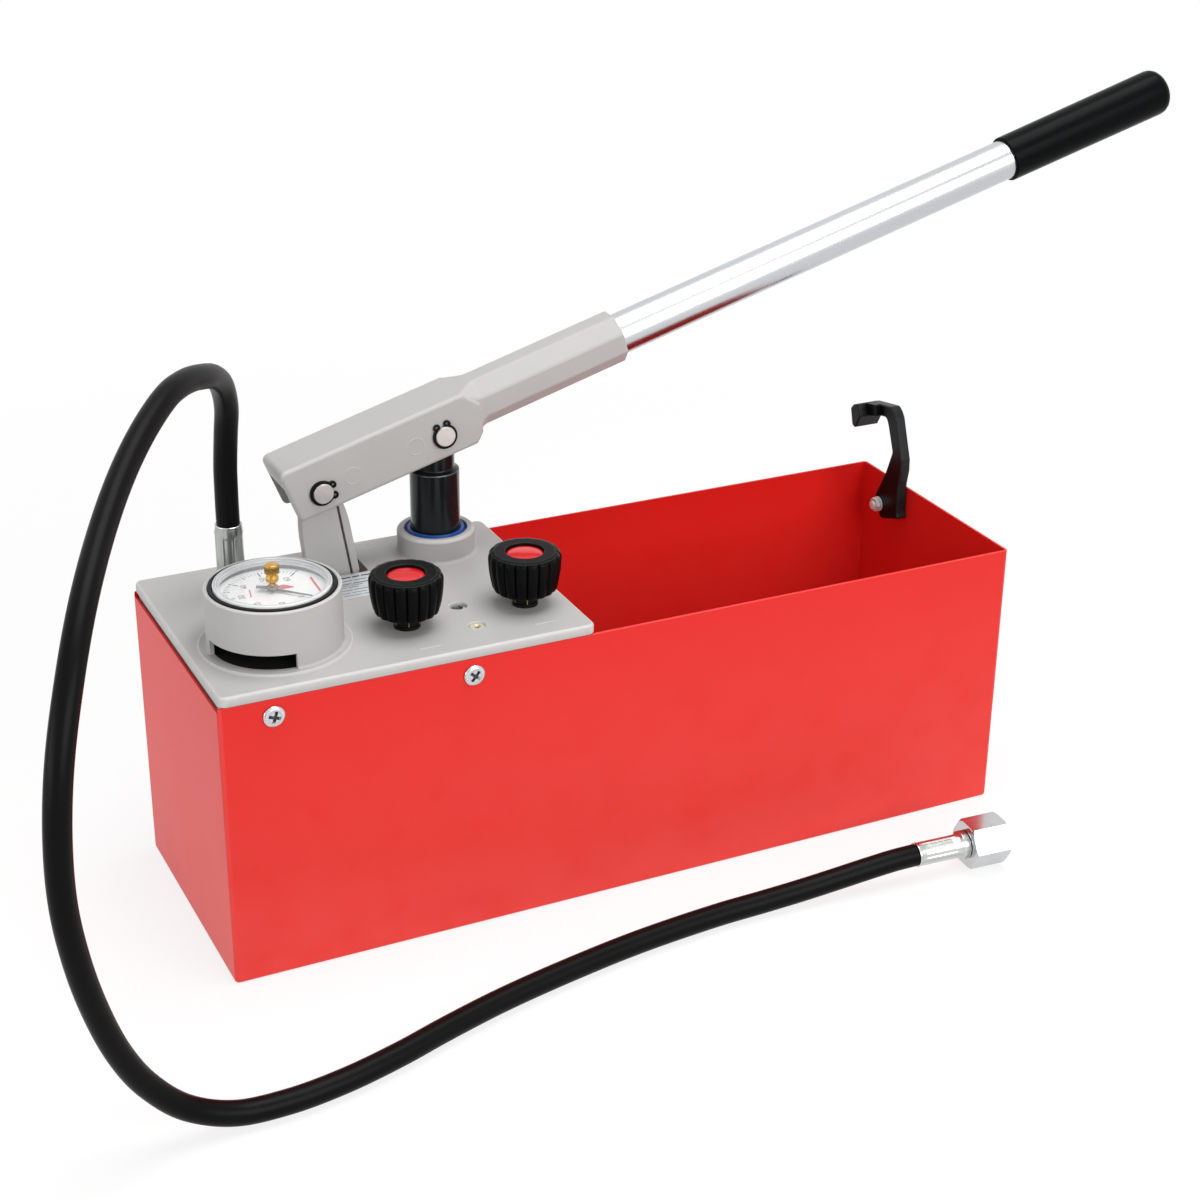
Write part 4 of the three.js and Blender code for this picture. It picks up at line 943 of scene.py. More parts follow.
def linked(name: str, data: bpy.types.ID) -> Item:
    """Make an object and put it into the scene.

    Args:
        name: The object's name.
        data: Its mesh, curve, camera or lamp.

    Returns:
        The object.
    """
    made = bpy.data.objects.new(name, data)
    bpy.context.scene.collection.objects.link(made)
    return made


def evaluated(item: Item) -> bpy.types.Mesh:
    """Return a mesh of an object with its modifiers applied."""
    graph = bpy.context.evaluated_depsgraph_get()
    return bpy.data.meshes.new_from_object(item.evaluated_get(graph))


def dress(item: Item, finish: Finish, body: str, replaces: Sequence[str] = ()) -> Item:
    """Give a piece its finish and its place in the frame.

    Args:
        item: The piece.
        finish: Its finish.
        body: The CAD body that it rides on.
        replaces: CAD nodes that it stands for.

    Returns:
        The piece.
    """
    item.data.materials.clear()
    item.data.materials.append(finish.material())
    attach(item, body)
    if replaces:
        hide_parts(*replaces)
    LOG.info("made %s on %s", item.name, body)
    return item


def framed(x: float, y: float, z: float, degrees: float = 0.0, axis: str = "Y") -> Matrix:
    """Return a frame at a place, turned about one axis."""
    return Matrix.Translation((x, y, z)) @ Matrix.Rotation(math.radians(degrees), 4, axis)


TANK_LENGTH = 500.0
TANK_WIDTH = 164.0
TANK_HEIGHT = 172.0
SHEET = 1.5
PLATE_LEFT = -249.0
PLATE_RIGHT = -30.0
PLATE_HALF = 82.5
PLATE_UNDER = 172.3
PLATE_TOP = 178.3
PUMP_X = -72.0
PUMP_Y = 52.5
GAUGE_AXIS = (-200.0, -29.0)
VALVE_Y = -40.3
VALVES = {"left": -127.0, "right": -55.0}
OUTLET_AXIS = (-202.0, 42.5)
LINK_X = -139.5
LINK_Z = 160.0
PIN_Z = 256.8
LEVER_DEGREES = 16.2
SCREW_XS = {"left": -219.6, "right": -104.4}
SCREW_Z = 162.0
PLUG_PLACES = {"delivery": (-91.0, -27.5), "channel": (-91.3, -55.8)}


@dataclass(frozen=True)
class Lamp:
    """A soft rectangular lamp, in metres and watts."""

    name: str
    place: Place
    width: float
    height: float
    watts: float

    def hang(self, target: Place) -> None:
        """Put the lamp into the scene.

        Args:
            target: The point that it looks at.
        """
        data = bpy.data.lights.new(self.name, "AREA")
        data.shape = "RECTANGLE"
        data.size = self.width
        data.size_y = self.height
        data.energy = self.watts
        lamp = linked(self.name, data)
        lamp.location = self.place
        aim = Vector(target) - Vector(self.place)
        lamp.rotation_euler = aim.to_track_quat("-Z", "Y").to_euler()


@dataclass
class Studio:
    """The camera of the photograph, a pale floor and soft lamps, in metres."""

    lens: float = 67.855
    sensor: float = 36.0
    clip_near: float = 0.01
    clip_far: float = 60.0
    eye: Place = (-0.5316, -1.1092, 0.7264)
    right: Place = (0.89979, -0.43622, 0.00983)
    ahead: Place = (0.39905, 0.81360, -0.42286)
    floor_size: float = 16.0
    floor_drop: float = 0.0004
    floor_grey: Colour = (0.72, 0.72, 0.72, 1.0)
    floor_roughness: float = 0.9
    floor_plain: float = 0.8
    fade_from: float = 0.42
    fade_to: float = 1.1
    sky: float = 0.25
    target: Place = (0.0, 0.0, 0.12)
    lamps: tuple[Lamp, ...] = (
        Lamp("key", (0.5, -2.1, 1.1), 1.8, 1.3, 30.0),
        Lamp("top", (0.3, -0.1, 2.4), 1.6, 1.6, 42.0),
        Lamp("left", (-2.2, -0.3, 0.5), 1.8, 0.6, 14.0),
    )

    def build(self) -> None:
        """Make the camera, floor, lamps and world."""
        self.camera()
        self.floor()
        for lamp in self.lamps:
            lamp.hang(self.target)
        self.world()
        bpy.context.scene.view_settings.view_transform = "Standard"

    def camera(self) -> None:
        """Stand the camera where the photograph was taken."""
        data = bpy.data.cameras.new("camera")
        data.lens = self.lens
        data.sensor_width = self.sensor
        data.clip_start = self.clip_near
        data.clip_end = self.clip_far
        camera = linked("camera", data)
        back = -Vector(self.ahead).normalized()
        across = (Vector(self.right) - back * Vector(self.right).dot(back)).normalized()
        upward = back.cross(across)
        turn = Matrix((across, upward, back)).transposed().to_4x4()
        camera.matrix_world = Matrix.Translation(self.eye) @ turn
        bpy.context.scene.camera = camera

    def _seen(self, graph: Graph) -> Value:
        """Tell the rays that see the background from those that only carry its light.

        Args:
            graph: The node tree.

        Returns:
            1 for camera, glossy and transmission rays, 0 for others.
        """
        path = graph.add("ShaderNodeLightPath")
        camera, glossy, transmission = (
            Value(graph, path.outputs[f"Is {kind} Ray"])
            for kind in ("Camera", "Glossy", "Transmission")
        )
        return (camera + glossy + transmission).between(0.0, 1.0)

    def floor(self) -> None:
        """Lay a pale floor that keeps the shadow and fades to white far away."""
        half = self.floor_size / 2
        data = bpy.data.meshes.new("floor")
        corners = [(-half, -half, 0), (half, -half, 0), (half, half, 0), (-half, half, 0)]
        data.from_pydata(corners, [], [(0, 1, 2, 3)])
        floor = linked("floor", data)
        floor.location.z = -self.floor_drop
        graph = Graph(bpy.data.materials.new("pale_floor"))
        seen = self._seen(graph)
        coordinates = graph.add("ShaderNodeTexCoord")
        away = graph.add("ShaderNodeVectorMath", {"operation": "LENGTH"},
                         {0: coordinates.outputs["Object"]})
        far = Value(graph, away.outputs["Value"]).between(self.fade_from, self.fade_to)
        graph.shade({
            "Base Color": graph.mix(seen, self.floor_grey, WHITE),
            "Roughness": self.floor_roughness,
            "Specular IOR Level": 0.0,
        })
        glow = graph.add("ShaderNodeEmission", {}, {"Color": WHITE, "Strength": 1.0})
        plain = self.floor_plain + far * (1.0 - self.floor_plain)
        blend = graph.add("ShaderNodeMixShader", {}, {
            0: plain * seen, 1: graph.shader.outputs[0], 2: glow.outputs[0],
        })
        graph.feed(graph.output.inputs["Surface"], blend.outputs[0])
        floor.data.materials.append(graph.owner)

    def world(self) -> None:
        """Surround the object with a white that lights it softly."""
        world = bpy.data.worlds.new("white_room")
        bpy.context.scene.world = world
        graph = Graph(world, "BACKGROUND")
        glow = graph.add("ShaderNodeMapRange", {}, {
            "Value": self._seen(graph), "To Min": self.sky, "To Max": 1.0,
        })
        graph.shade({"Color": WHITE, "Strength": glow.outputs["Result"]})


@dataclass
class HoseLine:
    """The pressure hose with its ferrules and the union nut at its free end."""

    radius: float = 6.7
    bore: float = 3.3
    steps: int = 9
    start: Place = (*OUTLET_AXIS, 222.0)
    end: Place = (153.0, -146.5, 15.9)
    end_yaw: float = -3.5
    route: tuple[Place, ...] = (
        (-202, 42.5, 232), (-202, 42, 243), (-202, 41, 256), (-202, 36, 277),
        (-203.5, 26, 297), (-210, 10, 316), (-219, -7, 327.5), (-230, -25, 335),
        (-243, -42, 340), (-257.5, -60, 341), (-274, -80, 335), (-292, -103, 324),
        (-312, -134, 309), (-333, -172, 289.5), (-348, -198, 265), (-359.5, -214.5, 233),
        (-365, -221, 200), (-366, -222, 167.5), (-363, -220.5, 138), (-356, -216, 104),
        (-344.5, -210, 68), (-331, -205.5, 42), (-312, -202.5, 20.5), (-288, -202, 9),
        (-260, -202, 7), (-229, -198, 7), (-195, -189, 7), (-163, -178, 7), (-127, -167, 7),
        (-82, -156.5, 7), (-32, -147.5, 7), (22.7, -142, 7), (49.4, -141.6, 7.4),
        (76, -142, 8.7), (98, -143, 10.8), (120, -144.4, 13.4), (138, -145.6, 15.3),
    )
    ferrule_low: float = 191.9
    ferrule_high: float = 221.7
    ferrule_radius: float = 8.25
    ferrule_slim: float = 7.25
    crimps: int = 8
    end_ferrule: float = 34.0
    crimp_depth: float = 0.42
    crimp_steps: int = 14
    adapter_flats: float = 19.0
    nut_flats: float = 27.0
    nut_length: float = 24.0
    nut_bore: float = 10.5
    nut_chamfer: float = 0.9
    thread_pitch: float = 1.8
    thread_depth: float = 0.75

    def build(self) -> None:
        hose, length = self.hose()
        fittings = [self.free_ferrule(), self.nipple(), self.union_nut()]
        self.adapter()
        self.pump_ferrule()

    def centreline(self) -> list[Vector]:
        """Sample the hose's smooth line through its route points.

        Returns:
            Points in metres.
        """
        yaw = math.radians(self.end_yaw)
        last = Vector(self.end) - Vector((GAP * math.cos(yaw), GAP * math.sin(yaw), 0.0))
        points = [Vector(self.start), *(Vector(place) for place in self.route), last]
        padded = [2 * points[0] - points[1], *points, 2 * points[-1] - points[-2]]
        line = []
        for before, here, after, beyond in zip(padded, padded[1:], padded[2:], padded[3:]):
            lead, middle, trail = (
                (second - first).length ** 0.5
                for first, second in ((before, here), (here, after), (after, beyond))
            )
            leaving = middle * (
                (here - before) / lead - (after - before) / (lead + middle)
                + (after - here) / middle
            )
            reaching = middle * (
                (after - here) / middle - (beyond - here) / (middle + trail)
                + (beyond - after) / trail
            )
            for step in range(self.steps):
                t = step / self.steps
                line.append(
                    here + leaving * t
                    + (3 * (after - here) - 2 * leaving - reaching) * t ** 2
                    + (2 * (here - after) + leaving + reaching) * t ** 3
                )
        line.append(last)
        return [point * MM for point in line]

    def hose(self) -> tuple[Item, float]:
        """Make the hose as a curve.

        Returns:
            The hose and its length in metres.
        """
        line = self.centreline()
        data = bpy.data.curves.new("hose_cover", "CURVE")
        data.dimensions = "3D"
        data.bevel_depth = self.radius * MM
        data.bevel_resolution = 10
        data.use_fill_caps = True
        spline = data.splines.new("POLY")
        spline.points.add(len(line) - 1)
        for point, place in zip(spline.points, line):
            point.co = (*place, 1.0)
        spline.use_smooth = True
        hose = dress(linked("hose_cover", data), HOSE_BLACK, "root", ["hose"])
        length = sum((after - here).length for here, after in zip(line, line[1:]))
        return hose, length

    def _crimped(self, low: float, high: float) -> Wave:
        """Press a ferrule in between two heights.

        Args:
            low: The lower height.
            high: The upper height.

        Returns:
            A function that gives the pressed radius.
        """
        def wave(radius: float, height: float, turn: float) -> float:
            """Press the radius in, but for the ridges between the jaws.

            Args:
                radius: The radius before.
                height: The height.
                turn: The angle.

            Returns:
                The pressed radius.
            """
            if radius < self.bore * 1.5:
                return radius
            inside = min(1.0, max(0.0, min(height - low, high - height) / 1.2))
            ridge = abs(math.cos(turn * self.crimps / 2)) ** 14
            return radius - self.crimp_depth * inside * (1 - ridge)
        return wave

    def _wall(self, radius: float, low: float, high: float) -> list[Corner]:
        """Return evenly spaced points up a ferrule's wall."""
        last = self.crimp_steps - 1
        return [(radius, low + (high - low) * at / last) for at in range(self.crimp_steps)]

    def pump_ferrule(self) -> None:
        """Make the ferrule that holds the hose at the pump."""
        base, top = self.ferrule_low, self.ferrule_high
        shoulder = top - 5.0
        Shape.turned(
            [(self.bore, base), (self.ferrule_radius, base, 0.5),
             *self._wall(self.ferrule_radius, base + 1.2, shoulder),
             (self.ferrule_slim + 0.35, top - 1.6), (self.ferrule_slim + 0.55, top, 0.5),
             (self.radius, top), (self.radius, top - 1.0), (self.bore, top - 1.0)],
            closed=True, sides=ROUND_SIDES * 2, wave=self._crimped(base + 1.5, shoulder),
        ).moved(*OUTLET_AXIS).piece(
            "pump_ferrule", UPRIGHT_ZINC, "root", ["hose_ferrule_pump"]
        )

    def adapter(self) -> None:
        """Make the hexagon adapter on the cover."""
        neck = Shape.turned(
            [(0, 158.6), (6.3, 158.6, 0.5), (6.3, 187.0), (6.0, 187.6), (6.0, 189.0),
             (5.3, 189.4), (5.3, 190.2), (6.0, 190.6), (6.0, 191.6), (3.0, 191.6),
             (3.0, 215.0, 0.5), (0, 215.0)],
            sides=64,
        )
        hexagon = Shape.hexagon(self.adapter_flats, 178.6, 187.6, self.nut_chamfer)
        washer = Shape.turned([(6.5, 178.31), (11.2, 178.31), (11.2, 178.7, 0.2), (6.5, 178.7)],
                              closed=True)
        neck.combined(Combine.JOIN, hexagon, washer).moved(*OUTLET_AXIS).piece(
            "outlet_adapter", ZINC, "root", ["hose_adapter"]
        )

    def _end_frame(self) -> Matrix:
        """Return the frame of the free end, its X along the hose."""
        return framed(*self.end, self.end_yaw, "Z")

    def free_ferrule(self) -> Item:
        """Make the ferrule at the free end.

        Returns:
            The ferrule.
        """
        end = self.end_ferrule
        return Shape.turned(
            [(self.radius, 0.0), (self.ferrule_slim + 0.2, 0.0, 0.5),
             *self._wall(self.ferrule_slim, 2.0, 27.0), (7.3, 28.6), (8.8, end - 4.0, 0.4),
             (8.8, end, 0.6), (self.bore, end), (self.bore, 1.0), (self.radius, 1.0)],
            Lay.RIGHT, closed=True, sides=ROUND_SIDES * 2, wave=self._crimped(3.0, 26.5),
        ).piece("free_ferrule", LYING_ZINC, "root", ["hose_ferrule_end"], self._end_frame())

    def nipple(self) -> Item:
        """Make the hose tail inside the union nut.

        Returns:
            The hose tail.
        """
        return Shape.turned(
            [(1.5, 6.0), (3.0, 6.0), (3.0, 34.3), (6.1, 34.3), (6.1, 38.6), (9.8, 38.6, 0.3),
             (9.8, 43.0, 0.6), (6.6, 46.6, 0.4), (1.5, 46.6)],
            Lay.RIGHT, closed=True,
        ).piece("hose_tail", ZINC, "root", ["hose_nipple"], self._end_frame())

    def union_nut(self) -> Item:
        """Make the hexagon union nut with its threaded bore.

        Returns:
            The nut.
        """
        low, high = self.end_ferrule + GAP, self.end_ferrule + GAP + self.nut_length
        bore, pitch = self.nut_bore, self.thread_pitch
        crest, mouth = bore - self.thread_depth, bore + 1.2
        height = low + 4.2
        profile: list[Corner] = [(0, low - 3), (6.4, low - 3), (6.4, low + 4), (bore, height)]
        while height + pitch < high - 1.4:
            profile += [(bore, height + pitch * 0.2), (crest, height + pitch * 0.5),
                        (crest, height + pitch * 0.6), (bore, height + pitch * 0.9)]
            height += pitch
        profile += [(bore, high - 1.0), (mouth, high + 0.2), (mouth, high + 3), (0, high + 3)]
        body = Shape.hexagon(self.nut_flats, low, high, self.nut_chamfer, Lay.RIGHT)
        body.cut(Shape.turned(profile, Lay.RIGHT))
        return body.piece("union_nut_body", ZINC, "union_nut", ["union_nut"], self._end_frame())


@dataclass
class Tank:
    """The red sheet-metal water tank and the screws in its sides."""

    corner: float = 2.6
    foot: float = 2.0
    rim: float = 0.3
    rim_drop: float = 2.5
    head_radius: float = 6.2
    head_height: float = 2.4
    shank_radius: float = 3.0
    shank_length: float = 15.0
    recess_half: float = 0.9
    recess_degrees: Pair = (18.0, 40.0)

    def build(self) -> None:
        """Make the shell and the four screws."""
        self.shell()
        for side, row in ((-1, "front"), (1, "rear")):
            for (name, x), degrees in zip(SCREW_XS.items(), self.recess_degrees):
                self.screw(f"side_screw_{row}_{name}", x, side, degrees * side)

    def shell(self) -> None:
        """Fold the tank from sheet."""
        half_x, half_y = TANK_LENGTH / 2, TANK_WIDTH / 2
        outside = Shape.extruded(
            box_outline((-half_x, half_x), (-half_y, half_y), self.corner), 0.0, TANK_HEIGHT,
            rims=(self.foot, self.rim),
        )
        inner_x, inner_y = half_x - SHEET, half_y - SHEET
        inside = Shape.extruded(
            box_outline((-inner_x, inner_x), (-inner_y, inner_y), self.corner - SHEET),
            SHEET, TANK_HEIGHT + 5, rims=(0.8, 0.0),
        )
        low_rim = Shape.block(
            (-half_x - 3, -inner_x + 3), (-inner_y, inner_y),
            (TANK_HEIGHT - self.rim_drop, TANK_HEIGHT + 5),
        )
        outside.cut(inside, low_rim).piece("tank_body", RED_PAINT, "root", ["tank_shell"])

    def screw(self, name: str, x: float, side: int, degrees: float) -> None:
        """Make one pan-head screw with a cross recess, whose floor holds a dark cross of painted
        shade.

        Args:
            name: The CAD node's name.
            x: Its place along the tank.
            side: -1 for the front, 1 for the rear.
            degrees: How its recess is turned.
        """
        low = TANK_WIDTH / 2 + 0.05
        top, end = low + self.head_height, low - self.shank_length
        body = Shape.turned([
            (0, end), (self.shank_radius, end, 0.6), (self.shank_radius, low),
            (self.head_radius, low, 0.1), (self.head_radius, low + 1.1, 0.7),
            (4.9, low + 2.0, 2.0), (2.4, top, 3.0), (0, top),
        ], sides=64)
        arm = [(-3.7, 0.35), (-2.2, -1.9), (2.2, -1.9), (3.7, 0.35), (3.7, 2), (-3.7, 2)]
        body.cut(*(
            Shape.extruded(arm, -self.recess_half, self.recess_half, Lay.FRONT)
            .turned_by(turn).moved(z=top - 0.35) for turn in (0.0, 90.0)
        ))
        # A dark cross at the recess floor paints the shade inside the recess.
        floor = top - 2.24
        long, short = (-2.1, 2.1), (0.1 - self.recess_half, self.recess_half - 0.1)
        shade = Shape.block(long, short, (floor, floor + 0.8)).combined(
            Combine.JOIN, Shape.block(short, long, (floor, floor + 0.79))
        )
        for shape in (body, shade):
            shape.turned_by(degrees).laid(Lay.FRONT)
            if side > 0:
                shape.turned_by(180.0)
            shape.moved(x, 0.0, SCREW_Z)
        body.piece(f"{name}_head", ZINC, "root", [name])
        shade.piece(f"{name}_recess", RECESS_PAINTED_SHADE, "root")


@dataclass
class Cover:
    """The cast cover: plate, skirt and pads below it, gauge well, pump collar and lugs."""

    corner: float = 4.5
    plate_rim: float = 1.7
    well_outer: float = 37.7
    well_inner: float = 35.3
    well_top: float = 213.2
    well_ledge: float = 43.3
    window_low: float = 178.9
    window_high: float = 188.0
    pad_bore: float = 10.4
    window_reach: float = 38.9
    collar_outer: float = 23.3
    collar_bore: float = 18.8
    collar_top: float = 193.0
    collar_foot: float = 27.4
    slot_x: Pair = (-162.0, -120.0)
    slot_y: Pair = (39.0, 66.0)
    valve_bore: float = 5.8
    valve_floor: float = 162.8
    channel_bore: float = 2.5
    channel_top: float = 170.0
    fitting_bores: Pair = (5.3, 6.6)
    fitting_floor: float = 158.0
    plug_bores: Pair = (5.1, 4.7)
    plug_floor: float = 157.5
    plug_mouth: float = 0.7
    skirt_x: Pair = (-247.7, -31.0)
    skirt_half: float = 79.7
    skirt_wall: float = 3.0
    skirt_low: float = 163.3
    pad_low: float = 147.3
    boss_half: float = 8.5
    boss_low: float = 149.3
    lug_radius: float = 11.0
    pin_bore: float = 5.3
    mark_height: float = 0.28
    mark_places: tuple[Pair, ...] = ((-216.7, 75.2), (-132.2, -71.3), (-61.5, -69.0))
    ring_place: Pair = (-111.7, 73.0)

    def build(self) -> None:
        """Make the cover's pieces."""
        self.plate()
        self.underside()
        self.well()
        self.collar()
        self.marks()

    def _bores(self) -> list[Shape]:
        """Make the bodies of the holes through the plate and what is under it.

        Returns:
            The bodies to cut out.
        """
        low, high = self.pad_low - 3, PLATE_TOP + 5
        slot = Shape.extruded(box_outline(self.slot_x, self.slot_y, 2.0), LINK_Z, high)
        bores = [slot, Shape.disc(self.collar_bore, low, high, sides=ROUND_SIDES)
                 .moved(PUMP_X, PUMP_Y)]
        for x in VALVES.values():
            bores += [
                Shape.disc(self.valve_bore, self.valve_floor, high).moved(x, VALVE_Y),
                Shape.disc(self.channel_bore, low, self.channel_top, sides=32).moved(x, VALVE_Y),
            ]
        for radius, place in zip(self.fitting_bores, (GAUGE_AXIS, OUTLET_AXIS)):
            bores.append(Shape.disc(radius, self.fitting_floor, high).moved(*place))
        for radius, place in zip(self.plug_bores, PLUG_PLACES.values()):
            mouth = radius + self.plug_mouth
            bores.append(Shape.turned(
                [(0, self.plug_floor), (radius, self.plug_floor), (radius, PLATE_TOP - 0.5),
                 (mouth, PLATE_TOP + 0.2), (mouth, high), (0, high)],
                sides=64,
            ).moved(*place))
        return bores

    def plate(self) -> None:
        """Make the flat plate with its softly rounded rim."""
        plate = Shape.extruded(
            box_outline((PLATE_LEFT, PLATE_RIGHT), (-PLATE_HALF, PLATE_HALF), self.corner),
            PLATE_UNDER, PLATE_TOP, rims=(0.8, self.plate_rim),
        )
        plate.cut(*self._bores()).piece("cover_plate", CAST_ALLOY, "root", ["cover_casting"])

    def underside(self) -> None:
        """Make the skirt, side bosses, drilled pads and lugs under the plate."""
        top = PLATE_UNDER + 0.5
        (left, right), half, wall = self.skirt_x, self.skirt_half, self.skirt_wall
        outside = box_outline((left, right), (-half, half), 2.0)
        inside = box_outline((left + wall, right - wall), (wall - half, half - wall), 1.5)
        ring = Shape.extruded(outside, self.skirt_low, top, rims=(0.6, 0.0))
        ring.cut(Shape.extruded(inside, self.skirt_low - 3.3, top + 7.2))
        pads = (
            (box_outline((-213.0, -43.0), (-67.0, -15.0), 4.0), self.pad_low),
            (box_outline((-216.0, -188.0), (-17.5, 56.5), 4.0), self.pad_low + 0.01),
        )
        solids = [Shape.extruded(outline, low, top, rims=(1.0, 0.0)) for outline, low in pads]
        for x in SCREW_XS.values():
            for y in ((-79.69, -64.7), (64.7, 79.69)):
                boss = box_outline((x - self.boss_half, x + self.boss_half), y, 2.0)
                solids.append(Shape.extruded(boss, self.boss_low, top, rims=(0.8, 0.0)))
        lug = [*arc(self.lug_radius, math.pi, math.pi, 24, (LINK_X, LINK_Z)),
               (LINK_X + self.lug_radius, top), (LINK_X - self.lug_radius, top)]
        for near, far in ((34.0, 40.0), (65.0, 71.0)):
            solids.append(Shape.extruded(lug, -far, -near, Lay.FRONT, rims=(0.8, 0.8)))
        ring.combined(Combine.JOIN, *solids)
        bore = Shape.disc(self.pin_bore, -80.0, -20.0, Lay.FRONT).moved(LINK_X, 0.0, LINK_Z)
        ring.cut(*self._bores(), bore).piece("cover_underside", CAST_ALLOY, "root",
                                             ["cover_casting"])

    def well(self) -> None:
        """Make the gauge well with its base ledge and window."""
        low = PLATE_TOP - 2
        body = Shape.turned(
            [(self.well_inner, low), (self.well_ledge, low), (self.well_ledge, PLATE_TOP + SUNK),
             (self.well_ledge - 1.3, PLATE_TOP + 1.0, 1.0),
             (self.well_ledge - 3.0, PLATE_TOP + 0.8, 1.4), (self.well_outer, PLATE_TOP + 0.8, 2.4),
             (self.well_outer, self.well_top, 1.1), (self.well_inner, self.well_top, 1.0)],
            closed=True, sides=ROUND_SIDES * 2,
        )
        swing = arc(self.window_reach, math.radians(183.0), math.radians(87.0), 28)
        window = Shape.extruded([(0.0, 0.0), *swing], self.window_low, self.window_high)
        foot, pad_top = PLATE_TOP + SUNK, self.window_low - 0.1
        Shape.turned(
            [(0, foot), (self.well_inner - GAP, foot), (self.well_inner - GAP, pad_top, 0.1),
             (0, pad_top)],
        ).cut(Shape.disc(self.pad_bore, PLATE_TOP - 3, PLATE_TOP + 9)).moved(*GAUGE_AXIS).piece(
            "well_pad", RUBBER, "root"
        )
        body.cut(window).bevelled(
            0.35, 2, where=lambda edge: (
                max(vertex.co.z for vertex in edge.verts) > self.window_high - 0.1
                and all(self.window_low - 0.1 < vertex.co.z < self.window_high + 0.1
                        for vertex in edge.verts)
            ),
        ).moved(*GAUGE_AXIS).piece("gauge_well", CAST_ALLOY, "root", ["cover_casting"])

    def collar(self) -> None:
        """Make the round collar that the piston goes through."""
        low, foot = PLATE_TOP - 2, PLATE_TOP + SUNK
        Shape.turned(
            [(self.collar_bore, low), (self.collar_foot, low), (self.collar_foot, foot),
             (self.collar_outer, foot, 3.8), (self.collar_outer, self.collar_top, 2.2),
             (self.collar_bore, self.collar_top, 0.6)],
            closed=True, sides=ROUND_SIDES * 2,
        ).moved(PUMP_X, PUMP_Y).piece("pump_collar", CAST_ALLOY, "root", ["cover_casting"])

    def marks(self) -> None:
        """Raise the small plain marks that the mould leaves on the plate."""
        low, high = PLATE_TOP - 0.3, PLATE_TOP + self.mark_height
        angle = [(0, 0), (13, 0), (13, 1.0), (1.0, 1.0), (1.0, 5.0), (0, 5.0)]
        marks = Shape()
        for place in self.mark_places:
            marks.beside(Shape.extruded(angle, low, high, rims=(0.0, 0.2)).moved(*place))
        ring = Shape.turned([(4.4, low), (5.4, low), (5.4, high, 0.2), (4.4, high, 0.2)],
                            closed=True, sides=48).moved(*self.ring_place)
        marks.beside(ring).piece("mould_marks", CAST_ALLOY, "root", ["cover_casting"])


